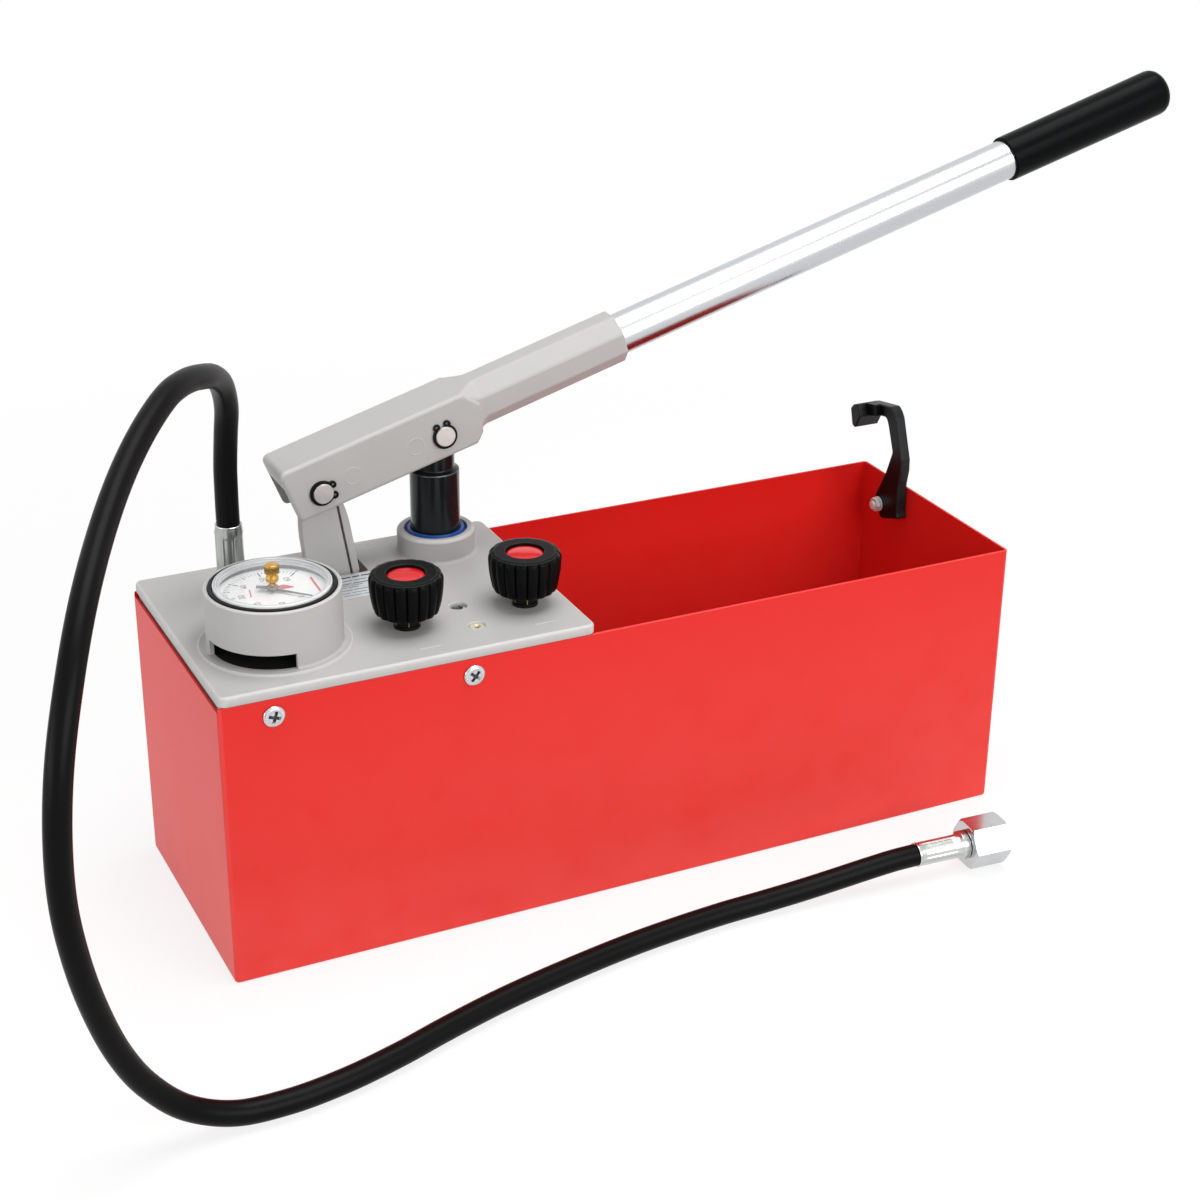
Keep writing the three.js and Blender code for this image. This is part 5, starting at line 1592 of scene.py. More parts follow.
@dataclass
class Gauge:
    """The pressure gauge in its well: case, dial, pointers, lens and reset knob."""

    case_radius: float = 35.0
    case_low: float = 190.0
    case_top: float = 213.8
    wall_inner: float = 31.3
    dial_radius: float = 31.0
    dial_top: float = 208.6
    print_low: float = 208.4
    print_high: float = 208.64
    zero: float = -45.0
    sweep: float = 270.0
    divisions: int = 60
    numbered: int = 10
    number_radius: float = 17.4
    number_size: float = 5.2
    tick_end: float = 27.0
    red_divisions: tuple[int, ...] = (10, 25, 60)
    hand_low: float = 209.8
    hand_high: float = 210.5
    drag_degrees: float = -24.0
    drag_low: float = 211.1
    drag_high: float = 211.8
    drag_bore: float = 2.3
    lens_radius: float = 32.5
    lens_top: float = 215.0
    pane_radius: float = 29.0
    knob_radius: float = 4.1
    knob_low: float = 215.0
    knob_high: float = 225.0

    def build(self) -> None:
        """Make the gauge's pieces."""
        self.case()
        self.dial()
        self.pointers()
        self.lens()
        self.reset_knob()

    def _at(self, shape: Shape) -> Shape:
        """Move a shape to the gauge's axis."""
        return shape.moved(*GAUGE_AXIS)

    def _degrees(self, division: int) -> float:
        """Return the direction of one of the scale's divisions."""
        return self.zero - self.sweep * division / self.divisions

    def case(self) -> None:
        """Make the black case."""
        self._at(Shape.turned(
            [(5.3, self.case_low), (self.case_radius, self.case_low, 0.8),
             (self.case_radius, self.case_top, 0.5), (32.9, self.case_top, 0.4),
             (32.8, 211.3), (self.wall_inner, 211.3), (self.wall_inner, 192.5, 0.5),
             (5.3, 192.5)],
            closed=True,
        )).piece("gauge_shell", CASE_BLACK, "root", ["gauge_case"])

    def dial(self) -> None:
        """Make the white dial with its scale and plain numbers."""
        self._at(Shape.turned(
            [(1.3, 204.9), (self.dial_radius, 204.9), (self.dial_radius, self.dial_top, 0.2),
             (1.3, self.dial_top)], closed=True,
        )).piece("dial_face", DIAL_WHITE, "root", ["gauge_dial"])
        low, high = self.print_low, self.print_high
        scale, red = Shape(), Shape()
        for at in range(self.divisions + 1):
            if at % self.numbered == 0:
                inner, half = 21.4, 0.42
            elif at % (self.numbered // 2) == 0:
                inner, half = 23.2, 0.3
            else:
                inner, half = 24.6, 0.16
            tick = Shape.block((inner, self.tick_end), (-half, half), (low, high))
            scale.beside(tick.turned_by(self._degrees(at)))
        for at in self.red_divisions:
            wedge = Shape.extruded([(27.6, 0), (29.9, -0.9), (29.9, 0.9)], low, high)
            red.beside(wedge.turned_by(self._degrees(at)))
        for at in range(0, self.divisions + 1, self.numbered):
            turn = math.radians(self._degrees(at))
            scale.beside(self._number(
                str(at), self.number_radius * math.cos(turn), self.number_radius * math.sin(turn)
            ))
        for reach, half, thick, turn in ((24.3, 11.0, 0.7, -3.0), (12.2, 5.0, 0.4, 168.0)):
            bar = Shape.block((reach - thick, reach + thick), (-half, half), (low, high))
            red.beside(bar.turned_by(turn))
        self._at(scale).piece("dial_scale", DIAL_INK, "root")
        self._at(red).piece("dial_red_marks", POINTER_RED, "root")

    def _number(self, text: str, x: float, y: float) -> Shape:
        """Make a flat number that reads from the tank's open end.

        Args:
            text: The digits.
            x: Its middle along X.
            y: Its middle along Y.

        Returns:
            The number's body.
        """
        data = bpy.data.curves.new("number", "FONT")
        data.body = text
        data.size = self.number_size
        data.align_x = "CENTER"
        data.align_y = "CENTER"
        data.extrude = 0.1
        data.resolution_u = 3
        item = linked("number", data)
        shape = Shape().take(evaluated(item))
        bpy.data.objects.remove(item)
        bpy.data.curves.remove(data)
        return shape.turned_by(90.0).moved(x, y, self.dial_top - 0.06)

    def pointers(self) -> None:
        """Make the pressure pointer and the red drag pointer."""
        low, high = self.hand_low, self.hand_high
        arbor = Shape.disc(1.0, 202.6, high, sides=32)
        hub = Shape.turned([(0, low), (3.0, low), (3.0, high, 0.2), (0, high)], sides=48)
        hand = Shape.extruded(
            [(-8.0, -1.2), (-3.0, -0.8), (0, -0.9), (24.0, -0.22), (24.0, 0.22), (0, 0.9),
             (-3.0, 0.8), (-8.0, 1.2)], low + 0.05, high - 0.05,
        ).turned_by(self.zero)
        self._at(hub.combined(Combine.JOIN, hand, arbor)).piece(
            "pressure_hand", PRINT_BLACK, "gauge_hand", ["gauge_pointer"]
        )
        low, high = self.drag_low, self.drag_high
        tail = Shape.extruded([(-9.0, -1.3), (-2.8, -0.7), (-2.8, 0.7), (-9.0, 1.3)],
                              low + 0.02, high - 0.02).turned_by(self.drag_degrees)
        ring = Shape.ring((self.drag_bore, 3.2), low, high, sides=48)
        ring.combined(Combine.JOIN, tail)
        self._at(ring).piece("drag_hand_tail", PRINT_GREY, "drag_hand", ["drag_pointer"])
        wedge = Shape.extruded([(2.9, -1.0), (5.6, -2.5), (11.4, 0.0), (5.6, 2.5), (2.9, 1.0)],
                               low + 0.05, high - 0.05).turned_by(self.drag_degrees)
        self._at(wedge).piece("drag_hand_tip", POINTER_RED, "drag_hand", ["drag_pointer"])

    def lens(self) -> None:
        """Make the clear lens with its raised rim."""
        low, top = self.lens_top - 3.4, self.lens_top
        pane = Shape.ring((self.drag_bore, self.pane_radius), low + 1.0, top - 0.9)
        self._at(pane).piece("lens_pane", LENS_CLEAR, "root", ["gauge_lens"])
        inner = self.pane_radius + 0.05
        self._at(Shape.turned(
            [(inner, low), (self.lens_radius, low, 0.2), (self.lens_radius, top, 0.9),
             (30.6, top, 0.8), (inner, top - 0.9, 0.4)], closed=True,
        )).piece("lens_rim_ring", LENS_RIM, "root", ["gauge_lens"])

    def reset_knob(self) -> None:
        """Make the brass knob that sets the drag pointer back."""
        low, high, radius = self.knob_low, self.knob_high, self.knob_radius

        def knurl(reach: float, height: float, turn: float) -> float:
            """Cut shallow flutes into the knob's upper drum.

            Args:
                reach: The radius before.
                height: The height.
                turn: The angle.

            Returns:
                The radius with the flutes.
            """
            if reach < radius - 0.3 or height < low + 4.8:
                return reach
            return reach - 0.2 * (1 - abs(math.cos(turn * 11)) ** 0.7)

        self._at(Shape.turned(
            [(0, self.drag_low), (1.6, self.drag_low), (1.6, low - 0.6), (2.6, low - 0.3, 0.2),
             (3.5, low + 0.4, 0.4), (3.5, low + 2.6, 0.4), (2.7, low + 3.4, 0.4),
             (2.7, low + 4.2, 0.4), (radius, low + 4.9, 0.3), (radius, high - 0.9),
             (radius - 0.8, high, 0.3), (0, high)],
            sides=176, wave=knurl,
        )).piece("reset_knob_body", BRASS, "drag_hand", ["reset_knob"])


@dataclass
class Valve:
    """One shut-off valve: gland, spindle, fluted knob and its red cap."""

    name: str
    flutes: int = 18
    flute_depth: float = 1.9
    bottom: float = 189.5
    top: float = 211.0
    bore: float = 3.3
    spindle: float = 3.0
    spindle_low: float = 166.0
    spindle_high: float = 201.8
    cap_radius: float = 10.6
    cap_low: float = 207.0
    cap_top: float = 210.4
    seat: float = 202.4
    gland_flats: float = 13.0
    gland_degrees: float = 16.4
    gland_top: float = 187.0

    def build(self) -> None:
        """Make the valve's pieces."""
        self.gland()
        spindle = Shape.disc(self.spindle, self.spindle_low, self.spindle_high)
        self._fit(spindle, "spindle", BRASS, "valve_spindle")
        self.knob()
        dome = [(self.cap_radius * across, self.cap_top - 1.4 + 1.5 * up)
                for across, up in arc(1.0, 0.0, math.pi / 2, 12)[:-1]]
        cap = Shape.turned(
            [(0, self.cap_low), (self.cap_radius, self.cap_low), *dome, (0, self.cap_top + 0.1)]
        )
        self._fit(cap, "cap", CAP_RED, "knob_cap")

    def _fit(
        self, shape: Shape, kind: str, finish: Finish, node: str, still: bool = False,
        sharp: float = 34.0,
    ) -> None:
        """Set a piece on the valve's axis.

        Args:
            shape: Its body.
            kind: Its name without the valve's.
            finish: Its finish.
            node: The CAD node that it stands for, without the valve's name.
            still: Whether it stays put when the knob turns.
            sharp: The angle from which an edge shades sharply, in degrees.
        """
        body = "root" if still else f"valve_{self.name}"
        shape.moved(VALVES[self.name], VALVE_Y).piece(
            f"{kind}_{self.name}", finish, body, [f"{node}_{self.name}"], sharp=sharp
        )

    def gland(self) -> None:
        """Make the gland that seals the spindle."""
        low, top = PLATE_TOP + 0.05, self.gland_top
        body = Shape.turned(
            [(0, 168.3), (5.5, 168.3, 0.5), (5.5, low), (7.6, low), (7.6, 180.0, 0.3),
             (5.9, 180.3), (5.9, top, 0.3), (0, top)], sides=72,
        )
        nut = Shape.hexagon(self.gland_flats, 180.2, top - 0.8, 0.5)
        body.combined(Combine.JOIN, nut.turned_by(self.gland_degrees))
        body.cut(Shape.disc(self.bore, 160.0, 190.0, sides=48))

        def corner(place: Vector) -> float:
            """Tell the hexagon's upright corners from the rest.

            Args:
                place: A vertex's place.

            Returns:
                1 at a corner, else 0.
            """
            turn = math.degrees(math.atan2(place.y, place.x)) - self.gland_degrees
            off = (turn + 30.0) % 60.0 - 30.0
            return float(abs(off) < 1.3 and place.z > 180.5 and math.hypot(*place.xy) > 7.1)

        self._fit(body.worn(corner), "gland_nut", GLAND_BLACK, "gland", still=True)

    def _fluted(self, radius: float, height: float, turn: float) -> float:
        """Cut narrow grooves between the knob's wide lobes.

        Args:
            radius: The radius before.
            height: The height.
            turn: The angle.

        Returns:
            The radius with the grooves.
        """
        fade = min(1.0, max(0.0, (radius - 14.6) / 3.0))
        fade *= min(1.0, max(0.35, (self.top - height) / 2.4))
        lobe = abs(math.cos(turn * self.flutes / 2)) ** 0.42
        return radius - self.flute_depth * fade * (1 - lobe)

    def knob(self) -> None:
        """Make the fluted knob with its lined bore."""
        low, high, floor = self.bottom, self.top, self.cap_low - 0.2
        side = [(18.7 + 2.2 * (1 - (1 - share) ** 2), low + 0.2 + 17.6 * share)
                for share in (0.0, 0.2, 0.4, 0.6, 0.8, 1.0)]
        lining = Shape.ring((self.bore - 0.2, self.bore + 0.3), low + 0.1, self.seat - 0.1,
                            sides=48)
        body = Shape.turned(
            [(self.bore, low), (9.0, low), (9.3, low - 1.9), (10.4, low - 2.3), (16.2, low - 2.4),
             (17.9, low - 1.4), *side, (20.7, high - 2.4), (20.2, high - 1.3),
             (19.4, high - 0.5, 0.8), (17.4, high, 2.0), (11.3, high, 0.5), (10.85, high - 0.8),
             (10.85, floor), (0, floor), (0, self.seat), (self.bore, self.seat)],
            sides=self.flutes * 14, wave=self._fluted,
        )
        self._fit(body.beside(lining), "knob_body", KNOB_BLACK, "knob", sharp=48.0)


@dataclass
class PlateFittings:
    """The flush plugs and the rating plate on the cover."""

    recess: float = 1.6
    delivery_radius: float = 4.8
    channel_radius: float = 4.4
    plate_length: float = 32.0
    plate_width: float = 31.0
    plate_place: Pair = (-132.0, 21.5)
    foil: float = 0.35
    bars: tuple[tuple[float, float, tuple[Pair, ...]], ...] = (
        (12.2, 1.3, ((-14.4, -1.5), (-0.6, 4.0), (5.0, 13.6))),
        (7.6, 0.8, ((-14.4, -2.0), (-1.0, 6.5), (8.0, 14.0))),
        (3.6, 0.8, ((-14.4, -4.0), (-3.0, 9.0))),
        (1.3, 0.7, ((-14.4, -6.0), (-5.0, 2.0))),
        (-1.1, 0.7, ((-14.4, -8.4), (-7.4, -1.0))),
        (-4.8, 0.7, ((-14.4, -6.4), (-5.4, 4.4), (6.0, 13.0))),
        (-8.6, 0.6, ((-14.4, -9.0), (-7.8, 1.0))),
        (-12.0, 0.6, ((-14.4, -3.0), (-2.0, 5.6))),
    )
    dark_bars: tuple[int, ...] = (0, 2)

    def build(self) -> None:
        """Make the plugs and the blank rating plate."""
        top, radius = PLATE_TOP - self.recess, self.delivery_radius
        plug = Shape.turned(
            [(0, top - 8.5), (radius, top - 8.5, 0.4), (radius, top, 0.5), (0, top)], sides=64
        )
        socket = Shape.hexagon(5.2, top - 4.0, top + 3.0, 0.01)
        plug.cut(socket).moved(*PLUG_PLACES["delivery"]).piece(
            "delivery_plug_body", ZINC, "root", ["delivery_plug"]
        )
        radius = self.channel_radius
        Shape.turned(
            [(0, top - 7.0), (radius, top - 7.0, 0.3), (radius, top + 1.1, 0.4),
             (2.2, top + 0.9, 0.3), (1.4, top, 0.3), (1.4, top - 4.0), (0, top - 4.0)], sides=64,
        ).moved(*PLUG_PLACES["channel"]).piece(
            "channel_plug_body", PLUG_PALE, "root", ["channel_plug"]
        )
        self.rating_plate()

    def rating_plate(self) -> None:
        """Make the foil plate with plain bars in place of its words."""
        half_x, half_y = self.plate_length / 2, self.plate_width / 2
        low = PLATE_TOP + SUNK
        Shape.extruded(
            box_outline((-half_x, half_x), (-half_y, half_y), 1.5), low, low + self.foil,
            rims=(0.0, 0.1),
        ).moved(*self.plate_place).piece("rating_foil", LABEL_FOIL, "root", ["rating_plate"])
        z = (low + self.foil - 0.1, low + self.foil + 0.03)
        dark, grey = Shape(), Shape()
        for at, (up, thick, widths) in enumerate(self.bars):
            target = dark if at in self.dark_bars else grey
            for x in widths:
                target.beside(Shape.block(x, (up - thick / 2, up + thick / 2), z))
        dark.moved(*self.plate_place).piece("rating_bars_dark", PRINT_BLACK, "root")
        grey.moved(*self.plate_place).piece("rating_bars_grey", PRINT_GREY, "root")


@dataclass
class Pump:
    """The pump: cylinder, suction fittings, wiper seal and piston."""

    piston_radius: float = 14.8
    neck_radius: float = 12.0
    shoulder: float = -24.8
    reach: float = -128.8
    groove_radius: float = 12.1
    eye: float = 6.3
    barrel_outer: float = 19.2
    barrel_band: float = 20.0
    barrel_bore: float = 15.7
    barrel_low: float = 84.0
    barrel_high: float = 172.0
    valve_top: float = 94.9
    valve_low: float = 69.2
    cup_outer: float = 13.0
    cup_inner: float = 11.5
    cup_low: float = 30.9
    cup_high: float = 76.9
    seal_top: float = 193.6

    def build(self) -> None:
        """Make the pump's pieces."""
        self.barrel()
        self.seal()
        self.piston()

    def _at(self, shape: Shape) -> Shape:
        """Move a shape to the pump's axis."""
        return shape.moved(PUMP_X, PUMP_Y)

    def barrel(self) -> None:
        """Make the cylinder, the suction valve's body and the strainer below it."""
        wall, band = self.barrel_outer, self.barrel_band
        low, high = self.barrel_low, self.barrel_high
        self._at(Shape.turned(
            [(8.3, low), (band, low, 0.8), (band, low + 12.0, 0.3), (wall, low + 13.0, 0.3),
             (wall, high - 8.0, 0.3), (band, high - 7.0, 0.3), (band, high),
             (self.barrel_bore, high), (self.barrel_bore, low + 6.0, 0.6), (8.3, low + 6.0)],
            closed=True,
        )).piece("cylinder_barrel", ZINC, "root", ["pump_cylinder"])
        foot, top = self.valve_low, self.valve_top
        self._at(Shape.turned(
            [(3.5, foot), (11.2, foot, 0.4), (11.2, 77.2), (18.0, 77.2, 0.6), (18.0, 83.7, 0.6),
             (8.0, 83.7), (8.0, top, 0.5), (3.5, top), (3.5, 91.6), (6.3, 91.6), (6.3, 80.4),
             (3.5, 80.4)], closed=True,
        )).piece("suction_body", DULL_BRASS, "root", ["suction_valve_body"])
        foot, top = self.cup_low, self.cup_high
        cup = Shape.turned(
            [(0, foot), (self.cup_outer, foot, 1.2), (self.cup_outer, top, 0.3),
             (self.cup_inner, top), (self.cup_inner, foot + 1.5, 0.5), (0, foot + 1.5)],
        )
        slot = box_outline((-1.5, 1.5), (38.9, 62.9), 1.45)
        slots = [Shape.extruded(slot, 6.0, 16.0, Lay.FRONT).turned_by(60.0 * at + 30.0)
                 for at in range(6)]
        self._at(cup.cut(*slots)).piece("strainer_cup", CASE_BLACK, "root", ["suction_strainer"])

    def seal(self) -> None:
        """Make the blue wiper seal in the collar."""
        top = self.seal_top
        self._at(Shape.turned(
            [(15.1, top - 9.5), (18.6, top - 9.5, 0.3), (18.6, top - 2.2, 0.3),
             (17.6, top - 1.6, 0.3), (16.6, top, 0.5), (15.0, top - 0.2, 0.3)],
            closed=True,
        )).piece("wiper_ring", SEAL_BLUE, "root", ["wiper_seal"])

    def piston(self) -> None:
        """Make the piston with its slimmer neck and flattened eye."""
        big, slim = self.piston_radius, self.neck_radius
        groove = self.reach + 3
        body = Shape.turned(
            [(0, self.reach), (big, self.reach, 0.5), (big, groove - 0.3),
             (self.groove_radius, groove - 0.3), (self.groove_radius, groove + 4.5),
             (big, groove + 4.5, 0.4), (big, self.shoulder - 1.6, 0.9),
             (slim, self.shoulder, 0.9), (slim, 14.0), (0, 14.0)],
        )
        side, foot, step = big + 1, self.reach - 1, self.shoulder + 1
        dome = [(-side, foot), (side, foot), (side, step), (slim, step),
                *arc(slim, 0.0, math.pi, 24), (-slim, step), (-side, step)]
        body.combined(Combine.COMMON, Shape.extruded(dome, -20.0, 20.0, Lay.FRONT))
        body.cut(Shape.disc(self.eye, -20.0, 20.0, Lay.FRONT))
        body.moved(PUMP_X, PUMP_Y, PIN_Z).piece(
            "piston_rod", PISTON_BLACK, "piston", ["piston"]
        )


@dataclass
class Link:
    """The swinging fulcrum link."""

    foot: float = 14.0
    waist: float = 16.5
    slim_waist: float = 14.7
    waist_up: float = 18.0
    shoulder: float = 14.8
    shoulder_up: float = 53.0
    eye: float = 10.3
    length: float = 74.24
    lean: float = -6.25
    near: float = -12.0
    plate: float = 7.0
    rib: float = 8.0
    pin: float = 6.0
    lower_bore: float = 5.3
    travel: Pair = (4.9, 2.8)
    groove: tuple[Pair, ...] = ((11.0, 9.0), (12.6, 9.0), (9.7, 64.0), (8.1, 64.0))

    def _eye_path(self, radius: float, depth: Pair, rim: float) -> Shape:
        """Make a bar that covers the pin's path in the eye.

        Args:
            radius: The bar's radius.
            depth: Its front and back.
            rim: The rounding of its rims.

        Returns:
            The bar.
        """
        along, up = self.travel
        reach = math.hypot(along, up)
        outline = arc(radius, math.pi / 2, math.pi, 20)
        outline += [(reach - x, -y) for x, y in outline]
        bar = Shape.extruded(outline, -depth[1], -depth[0], Lay.FRONT, rims=(rim, rim))
        bar.turned_by(-math.degrees(math.atan2(up, along)), "Y").moved(z=-0.5)
        return bar.turned_by(-self.lean, "Y").moved(z=self.length)

    def build(self) -> None:
        """Make the link with its plate, rib, groove and eyes."""
        far = -self.near
        outline = [*arc(self.foot, math.pi, math.pi, 20), (self.waist, self.waist_up, 6.0),
                   (self.shoulder, self.shoulder_up, 90.0), (self.eye, self.length),
                   (-self.eye, self.length),
                   (-self.shoulder, self.shoulder_up, 90.0), (-self.slim_waist, self.waist_up, 6.0)]
        body = Shape.extruded(outline, far - self.plate, far, Lay.FRONT, rims=(0.4, 1.2))
        rib = Shape.block((-self.rib / 2, self.rib / 2), (self.near + 3, far - 0.05),
                          (0.0, self.length))
        boss = Shape.extruded(arc(self.foot, 0.0, math.tau, 48), self.near, far - 0.02, Lay.FRONT,
                              rims=(0.8, 0.8))
        body.combined(Combine.JOIN, rib, boss, self._eye_path(self.eye, (self.near, far), 0.8))
        groove = Shape.extruded(self.groove, far - 5, far + 3, Lay.FRONT)
        body.cut(groove, Shape.disc(self.lower_bore, -20.0, 20.0, Lay.FRONT),
                 self._eye_path(self.pin + GAP + 1.0, (self.near - 3, far + 3), 0.0))
        body.worn(lambda place: 0.0).piece("fulcrum_link", CAST_ALLOY, "link", ["link"],
                                           framed(LINK_X, PUMP_Y, LINK_Z, self.lean))


@dataclass
class Lever:
    """The lever casting with its handle, its pins and their retaining rings."""

    half: float = 17.3
    channel_half: float = 13.0
    socket_up: float = 4.8
    apothem: float = 15.0
    socket_end: float = 125.0
    cheeks: tuple[Corner, ...] = (
        (-99.6, 20.2, 4.0), (-96.4, -13.4, 3.5), (18.5, -14.5, 3.0), (23.8, -9.0, 2.5),
        (26.8, 9.0, 3.0), (18.0, 19.5, 4.0),
    )
    step_x: Pair = (16.0, 30.0)
    step_z: Pair = (-14.0, 19.5)
    step_corner: float = 2.6
    tube_radius: float = 12.5
    tube_start: float = 60.0
    tube_end: float = 525.0
    grip_start: float = 410.0
    grip_end: float = 533.0
    pin_radius: float = 6.0
    pin_groove: float = 5.2
    ring_radius: float = 7.5
    ring_bore: float = 5.35
    ring_thick: float = 1.3
    ring_lug: float = 2.3
    ring_hole: float = 0.85
    ring_mouth: float = 1.3
    fulcrum: Pair = (-79.0, -1.0)
    marks: tuple[Pair, ...] = ((-59.1, 0.7), (-18.3, 0.9))

    def frame(self) -> Matrix:
        """Return the lever's own frame, its X along the handle."""
        return framed(PUMP_X, PUMP_Y, PIN_Z, -LEVER_DEGREES)

    def build(self) -> None:
        """Make the lever's pieces."""
        self.casting()
        self.mould_rings()
        self.handle()
        self.pin_set("piston", (0.0, 0.0), 90.0)
        self.pin_set("fulcrum", self.fulcrum, -6.0)

    def _octagon(self, x: float) -> list[Place]:
        """Return the socket's eight corners at a place along the handle."""
        corner = self.apothem / math.cos(math.pi / 8)
        return [(x, *at) for at in arc(corner, math.pi / 8, math.tau, 8, (0.0, self.socket_up))]

    def _shoulder(self) -> Shape:
        """Make the octagon socket with the soft step from the cheeks to it.

        Returns:
            The socket's body.
        """
        side, (low, high), cut = self.half - 0.05, self.step_z, self.step_corner
        box = [(side, high - cut), (side - cut, high), (cut - side, high), (-side, high - cut),
               (-side, low + cut), (cut - side, low), (side - cut, low), (side, low + cut)]
        start, end = self.step_x
        sections = [[(start - 6.0, across, up) for across, up in box]]
        for step in range(7):
            share = step / 6
            blend = share * share * (3 - 2 * share)
            x = start + (end - start) * share
            sections.append([
                (x, across + (far - across) * blend, up + (top - up) * blend)
                for (across, up), (_, far, top) in zip(box, self._octagon(x))
            ])
        sections.append(self._octagon(self.socket_end))
        return Shape.lofted(sections).bevelled(1.3, angle=30.0)

    def casting(self) -> None:
        """Make the casting: cheeks, channel and octagon socket."""
        body = Shape.extruded(self.cheeks, -self.half, self.half, Lay.FRONT, rims=(2.4, 2.4))
        body.combined(Combine.JOIN, self._shoulder())
        channel = Shape.extruded(
            box_outline((-95.7, 14.5), (-17.0, 14.5), 2.0), -self.channel_half,
            self.channel_half, Lay.FRONT,
        )
        mouth = Shape.block((-103.0, 0.0), (-self.channel_half, self.channel_half), (-17.0, 8.7))
        bore = Shape.disc(self.tube_radius + 0.1, self.tube_start, self.socket_end + 4, Lay.RIGHT,
                          ROUND_SIDES).moved(z=self.socket_up)
        pins = [Shape.disc(self.pin_radius + 0.15, -30, 30, Lay.FRONT).moved(x, 0, z)
                for x, z in ((0.0, 0.0), self.fulcrum)]
        body.cut(channel, mouth, bore, *pins)

        def rim(place: Vector) -> float:
            """Mark the cheeks' rounded rims for a painted highlight that fades out towards the
            socket.
            """
            fade = min(1.0, max(0.0, (21.0 - place.x) / 10.0))
            return 0.5 * fade * float(0.2 < self.half - abs(place.y) < 2.2)

        body.worn(rim).piece("lever_arm", CAST_ALLOY, "lever", ["lever_casting"], self.frame())

    def mould_rings(self) -> None:
        """Raise the faint round marks that the mould leaves on both cheeks."""
        rings = Shape()
        for x, z in self.marks:
            for side in (-1, 1):
                ring = Shape.turned(
                    [(4.5, 17.1), (5.5, 17.1), (5.5, 17.48, 0.15), (4.5, 17.48, 0.15)],
                    Lay.FRONT, sides=48, closed=True,
                )
                if side > 0:
                    ring.turned_by(180.0)
                rings.beside(ring.moved(x, 0.0, z))
        rings.piece("lever_mould_rings", CAST_ALLOY, "lever", ["lever_casting"], self.frame())

    def handle(self) -> None:
        """Make the handle tube and its grip."""
        up, radius = self.socket_up, self.tube_radius
        Shape.ring(
            (radius - SHEET, radius), self.tube_start, self.tube_end, Lay.RIGHT
        ).moved(z=up).piece("handle_bar", TUBE_ZINC, "lever", ["handle_tube"], self.frame())
        start, end = self.grip_start, self.grip_end
        Shape.turned(
            [(radius + 0.05, start), (14.3, start, 0.9), (14.55, start + 60), (14.8, end - 16),
             (14.8, end, 7.4), (0, end), (0, end - 4), (radius + 0.05, end - 4)], Lay.RIGHT,
        ).moved(z=up).put(self.frame()).piece("grip_sleeve", GRIP_BLACK, "lever", ["handle_grip"])

    def pin_set(self, name: str, place: Pair, mouth: float) -> None:
        """Make a pin and the retaining rings at its ends.

        Args:
            name: Which pin it is.
            place: Its place in the lever's frame, along and up.
            mouth: The direction of the rings' mouths, in degrees.
        """
        x, z = place
        radius, groove = self.pin_radius, self.pin_groove
        end, out, seat = self.half + 2.7, self.half + 1.8, self.half
        Shape.turned(
            [(0, -end), (radius, -end, 0.7), (radius, -out), (groove, -out), (groove, -seat),
             (radius, -seat), (radius, seat), (groove, seat), (groove, out), (radius, out),
             (radius, end, 0.7), (0, end)],
            Lay.FRONT, sides=64,
        ).moved(x, 0, z).piece(f"{name}_pin_bar", PIN_STEEL, "lever", [f"{name}_pin"],
                               self.frame())
        low = self.half + 0.1
        high, start, stop = low + self.ring_thick, low - 1, low + 3
        half_mouth = (-self.ring_mouth, self.ring_mouth)
        for row, side in (("front", 1), ("rear", -1)):
            ring = Shape.disc(self.ring_radius, low, high).moved(-0.35)
            lugs = [Shape.disc(self.ring_lug, low, high, sides=32).moved(6.5, offset)
                    for offset in (-3.2, 3.2)]
            ring.combined(Combine.JOIN, *lugs)
            holes = [Shape.disc(self.ring_hole, start, stop, sides=24).moved(6.9, offset)
                     for offset in (-3.3, 3.3)]
            gap = Shape.block((0.0, 10.0), half_mouth, (start, stop))
            ring.cut(Shape.disc(self.ring_bore, start, stop), gap, *holes)
            ring.turned_by(mouth if side > 0 else 180.0 - mouth).laid(Lay.FRONT)
            if side < 0:
                ring.turned_by(180.0)
            ring.moved(x, 0, z).piece(
                f"{name}_ring_{row}", BLACK_OXIDE, "lever", [f"{name}_circlip_{row}"],
                self.frame(),
            )


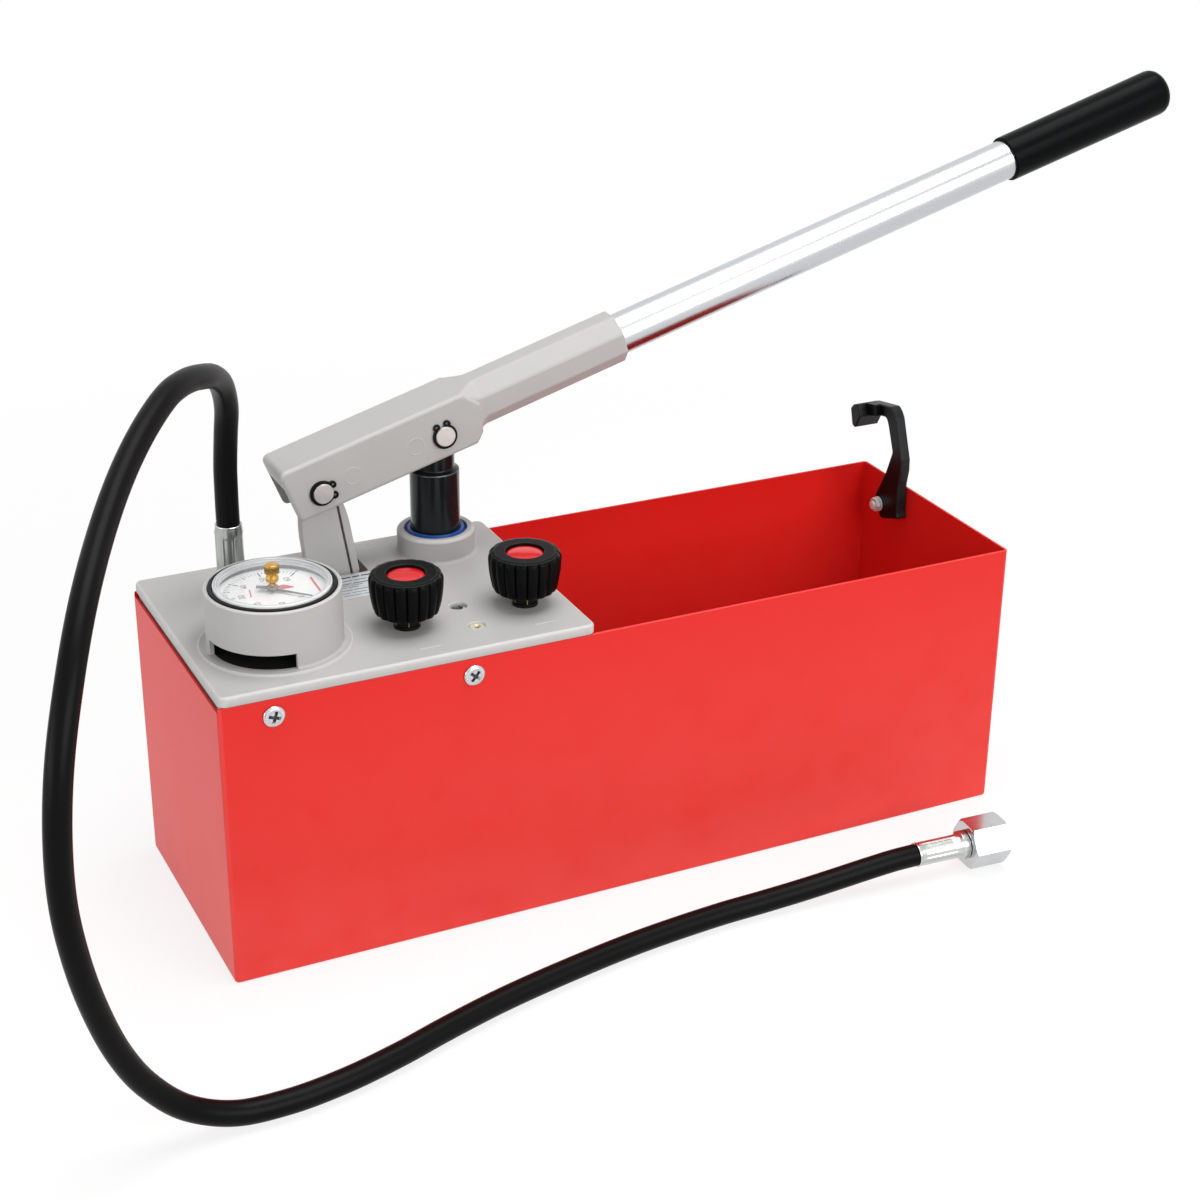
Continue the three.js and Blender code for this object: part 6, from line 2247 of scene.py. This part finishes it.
@dataclass
class HandleHook:
    """The plastic hook that takes the lowered handle, with its screw, washer and nut."""

    place: Place = (TANK_LENGTH / 2 - SHEET, 50.0, 154.5)
    size: float = 80.0
    from_wall: float = 0.3
    thick: float = 7.0
    tip_thick: float = 17.5
    ramp_thick: float = 11.0
    outline: tuple[Pair, ...] = (
        (-0.292, -0.03), (-0.031, -0.123), (0.082, 0.028), (-0.064, 0.302), (-0.141, 0.501),
        (-0.057, 0.704), (-0.024, 0.761), (0.07, 0.745), (0.206, 0.715), (0.231, 0.606),
        (0.275, 0.619), (0.312, 0.754), (0.273, 0.797), (0.211, 0.819), (-0.08, 0.871),
        (-0.123, 0.844), (-0.16, 0.802), (-0.28, 0.476), (-0.284, 0.381), (-0.26, 0.256),
        (-0.264, 0.006),
    )
    tip: tuple[Pair, ...] = (
        (0.163, 0.725), (0.231, 0.606), (0.275, 0.619), (0.312, 0.754), (0.273, 0.797),
        (0.211, 0.819),
    )
    ramp: tuple[Pair, ...] = (
        (0.05, 0.749), (0.206, 0.715), (0.211, 0.819), (0.075, 0.843),
    )
    nut_flats: float = 8.0
    shank: float = 2.5

    def frame(self) -> Matrix:
        """Return the frame at the hook's screw, on the wall's inner face."""
        return framed(*self.place)

    def _part(self, shares: Sequence[Pair], thick: float, corner: float, rim: float) -> Shape:
        """Raise one outline of the hook away from the wall.

        Args:
            shares: The outline as shares of the hook's size.
            thick: How thick the part is.
            corner: The radius of its corners.
            rim: The rounding of its rims.

        Returns:
            The part.
        """
        outline = [(across * self.size, up * self.size, corner) for across, up in shares]
        return Shape.extruded(outline, -self.from_wall - thick, -self.from_wall, Lay.RIGHT,
                              rims=(rim, min(rim, 0.6)))

    def build(self) -> None:
        """Make the hook and its fasteners."""
        body = self._part(self.outline, self.thick, 4.0, 1.1)
        body.combined(
            Combine.JOIN, self._part(self.tip, self.tip_thick, 1.6, 0.8),
            self._part(self.ramp, self.ramp_thick, 1.0, 0.6),
        )
        body.cut(Shape.disc(2.8, -10.0, 3.0, Lay.RIGHT))
        body.piece("hook_body", HOOK_BLACK, "hook", ["hook"], self.frame())
        Shape.ring((2.8, 5.0), -8.4, -7.6, Lay.RIGHT, 64).piece(
            "hook_washer_disc", NUT_STEEL, "root", ["hook_washer"], self.frame()
        )
        nut = Shape.hexagon(self.nut_flats, -11.9, -8.7, 0.6, Lay.RIGHT)
        nut.cut(Shape.disc(2.6, -13.0, -7.0, Lay.RIGHT, sides=48))
        nut.piece("hook_nut_body", NUT_STEEL, "root", ["hook_nut"], self.frame())
        screw = Shape.turned(
            [(0, -13.1), (self.shank, -13.1, 0.5), (self.shank, 1.52), (4.6, 1.52, 0.2),
             (4.6, 2.4, 0.5), (3.4, 3.6, 1.2), (0, 4.2)], Lay.RIGHT, sides=64,
        )
        slots = [Shape.block((3.0, 5.0), (-2.3, 2.3), (-0.5, 0.5)),
                 Shape.block((3.01, 5.0), (-0.5, 0.5), (-2.3, 2.3))]
        screw.cut(*slots).piece("hook_screw_body", NUT_STEEL, "root", ["hook_screw"], self.frame())


@dataclass
class InnerWorks:
    """CAD nodes that keep their own shape and get a finish."""

    def build(self) -> None:
        """Assign the finishes."""
        rows = {
            "gauge_stem": DULL_BRASS, "bourdon_tube": DULL_BRASS, "gauge_movement": DULL_BRASS,
            "valve_disc_left": RUBBER, "valve_disc_right": RUBBER, "guide_bush": BRASS,
            "suction_ball": ZINC, "delivery_ball": ZINC, "piston_seal": RUBBER,
            "link_pin": PIN_STEEL,
        }
        for name, finish in rows.items():
            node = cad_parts[name]
            node.data.materials.clear()
            node.data.materials.append(finish.material())
            LOG.info("dressed %s", name)


def main() -> None:
    """Build the studio and every sub-assembly."""
    logging.basicConfig(level=logging.INFO, format="%(name)s: %(message)s")
    assemblies = (
        Studio(), HoseLine(), Tank(), Cover(), Gauge(), Valve("left"), Valve("right"),
        PlateFittings(), Pump(), Link(), Lever(), HandleHook(), InnerWorks(),
    )
    for assembly in assemblies:
        assembly.build()
        LOG.info("finished %s", type(assembly).__name__)


if __name__ == "__main__":
    main()
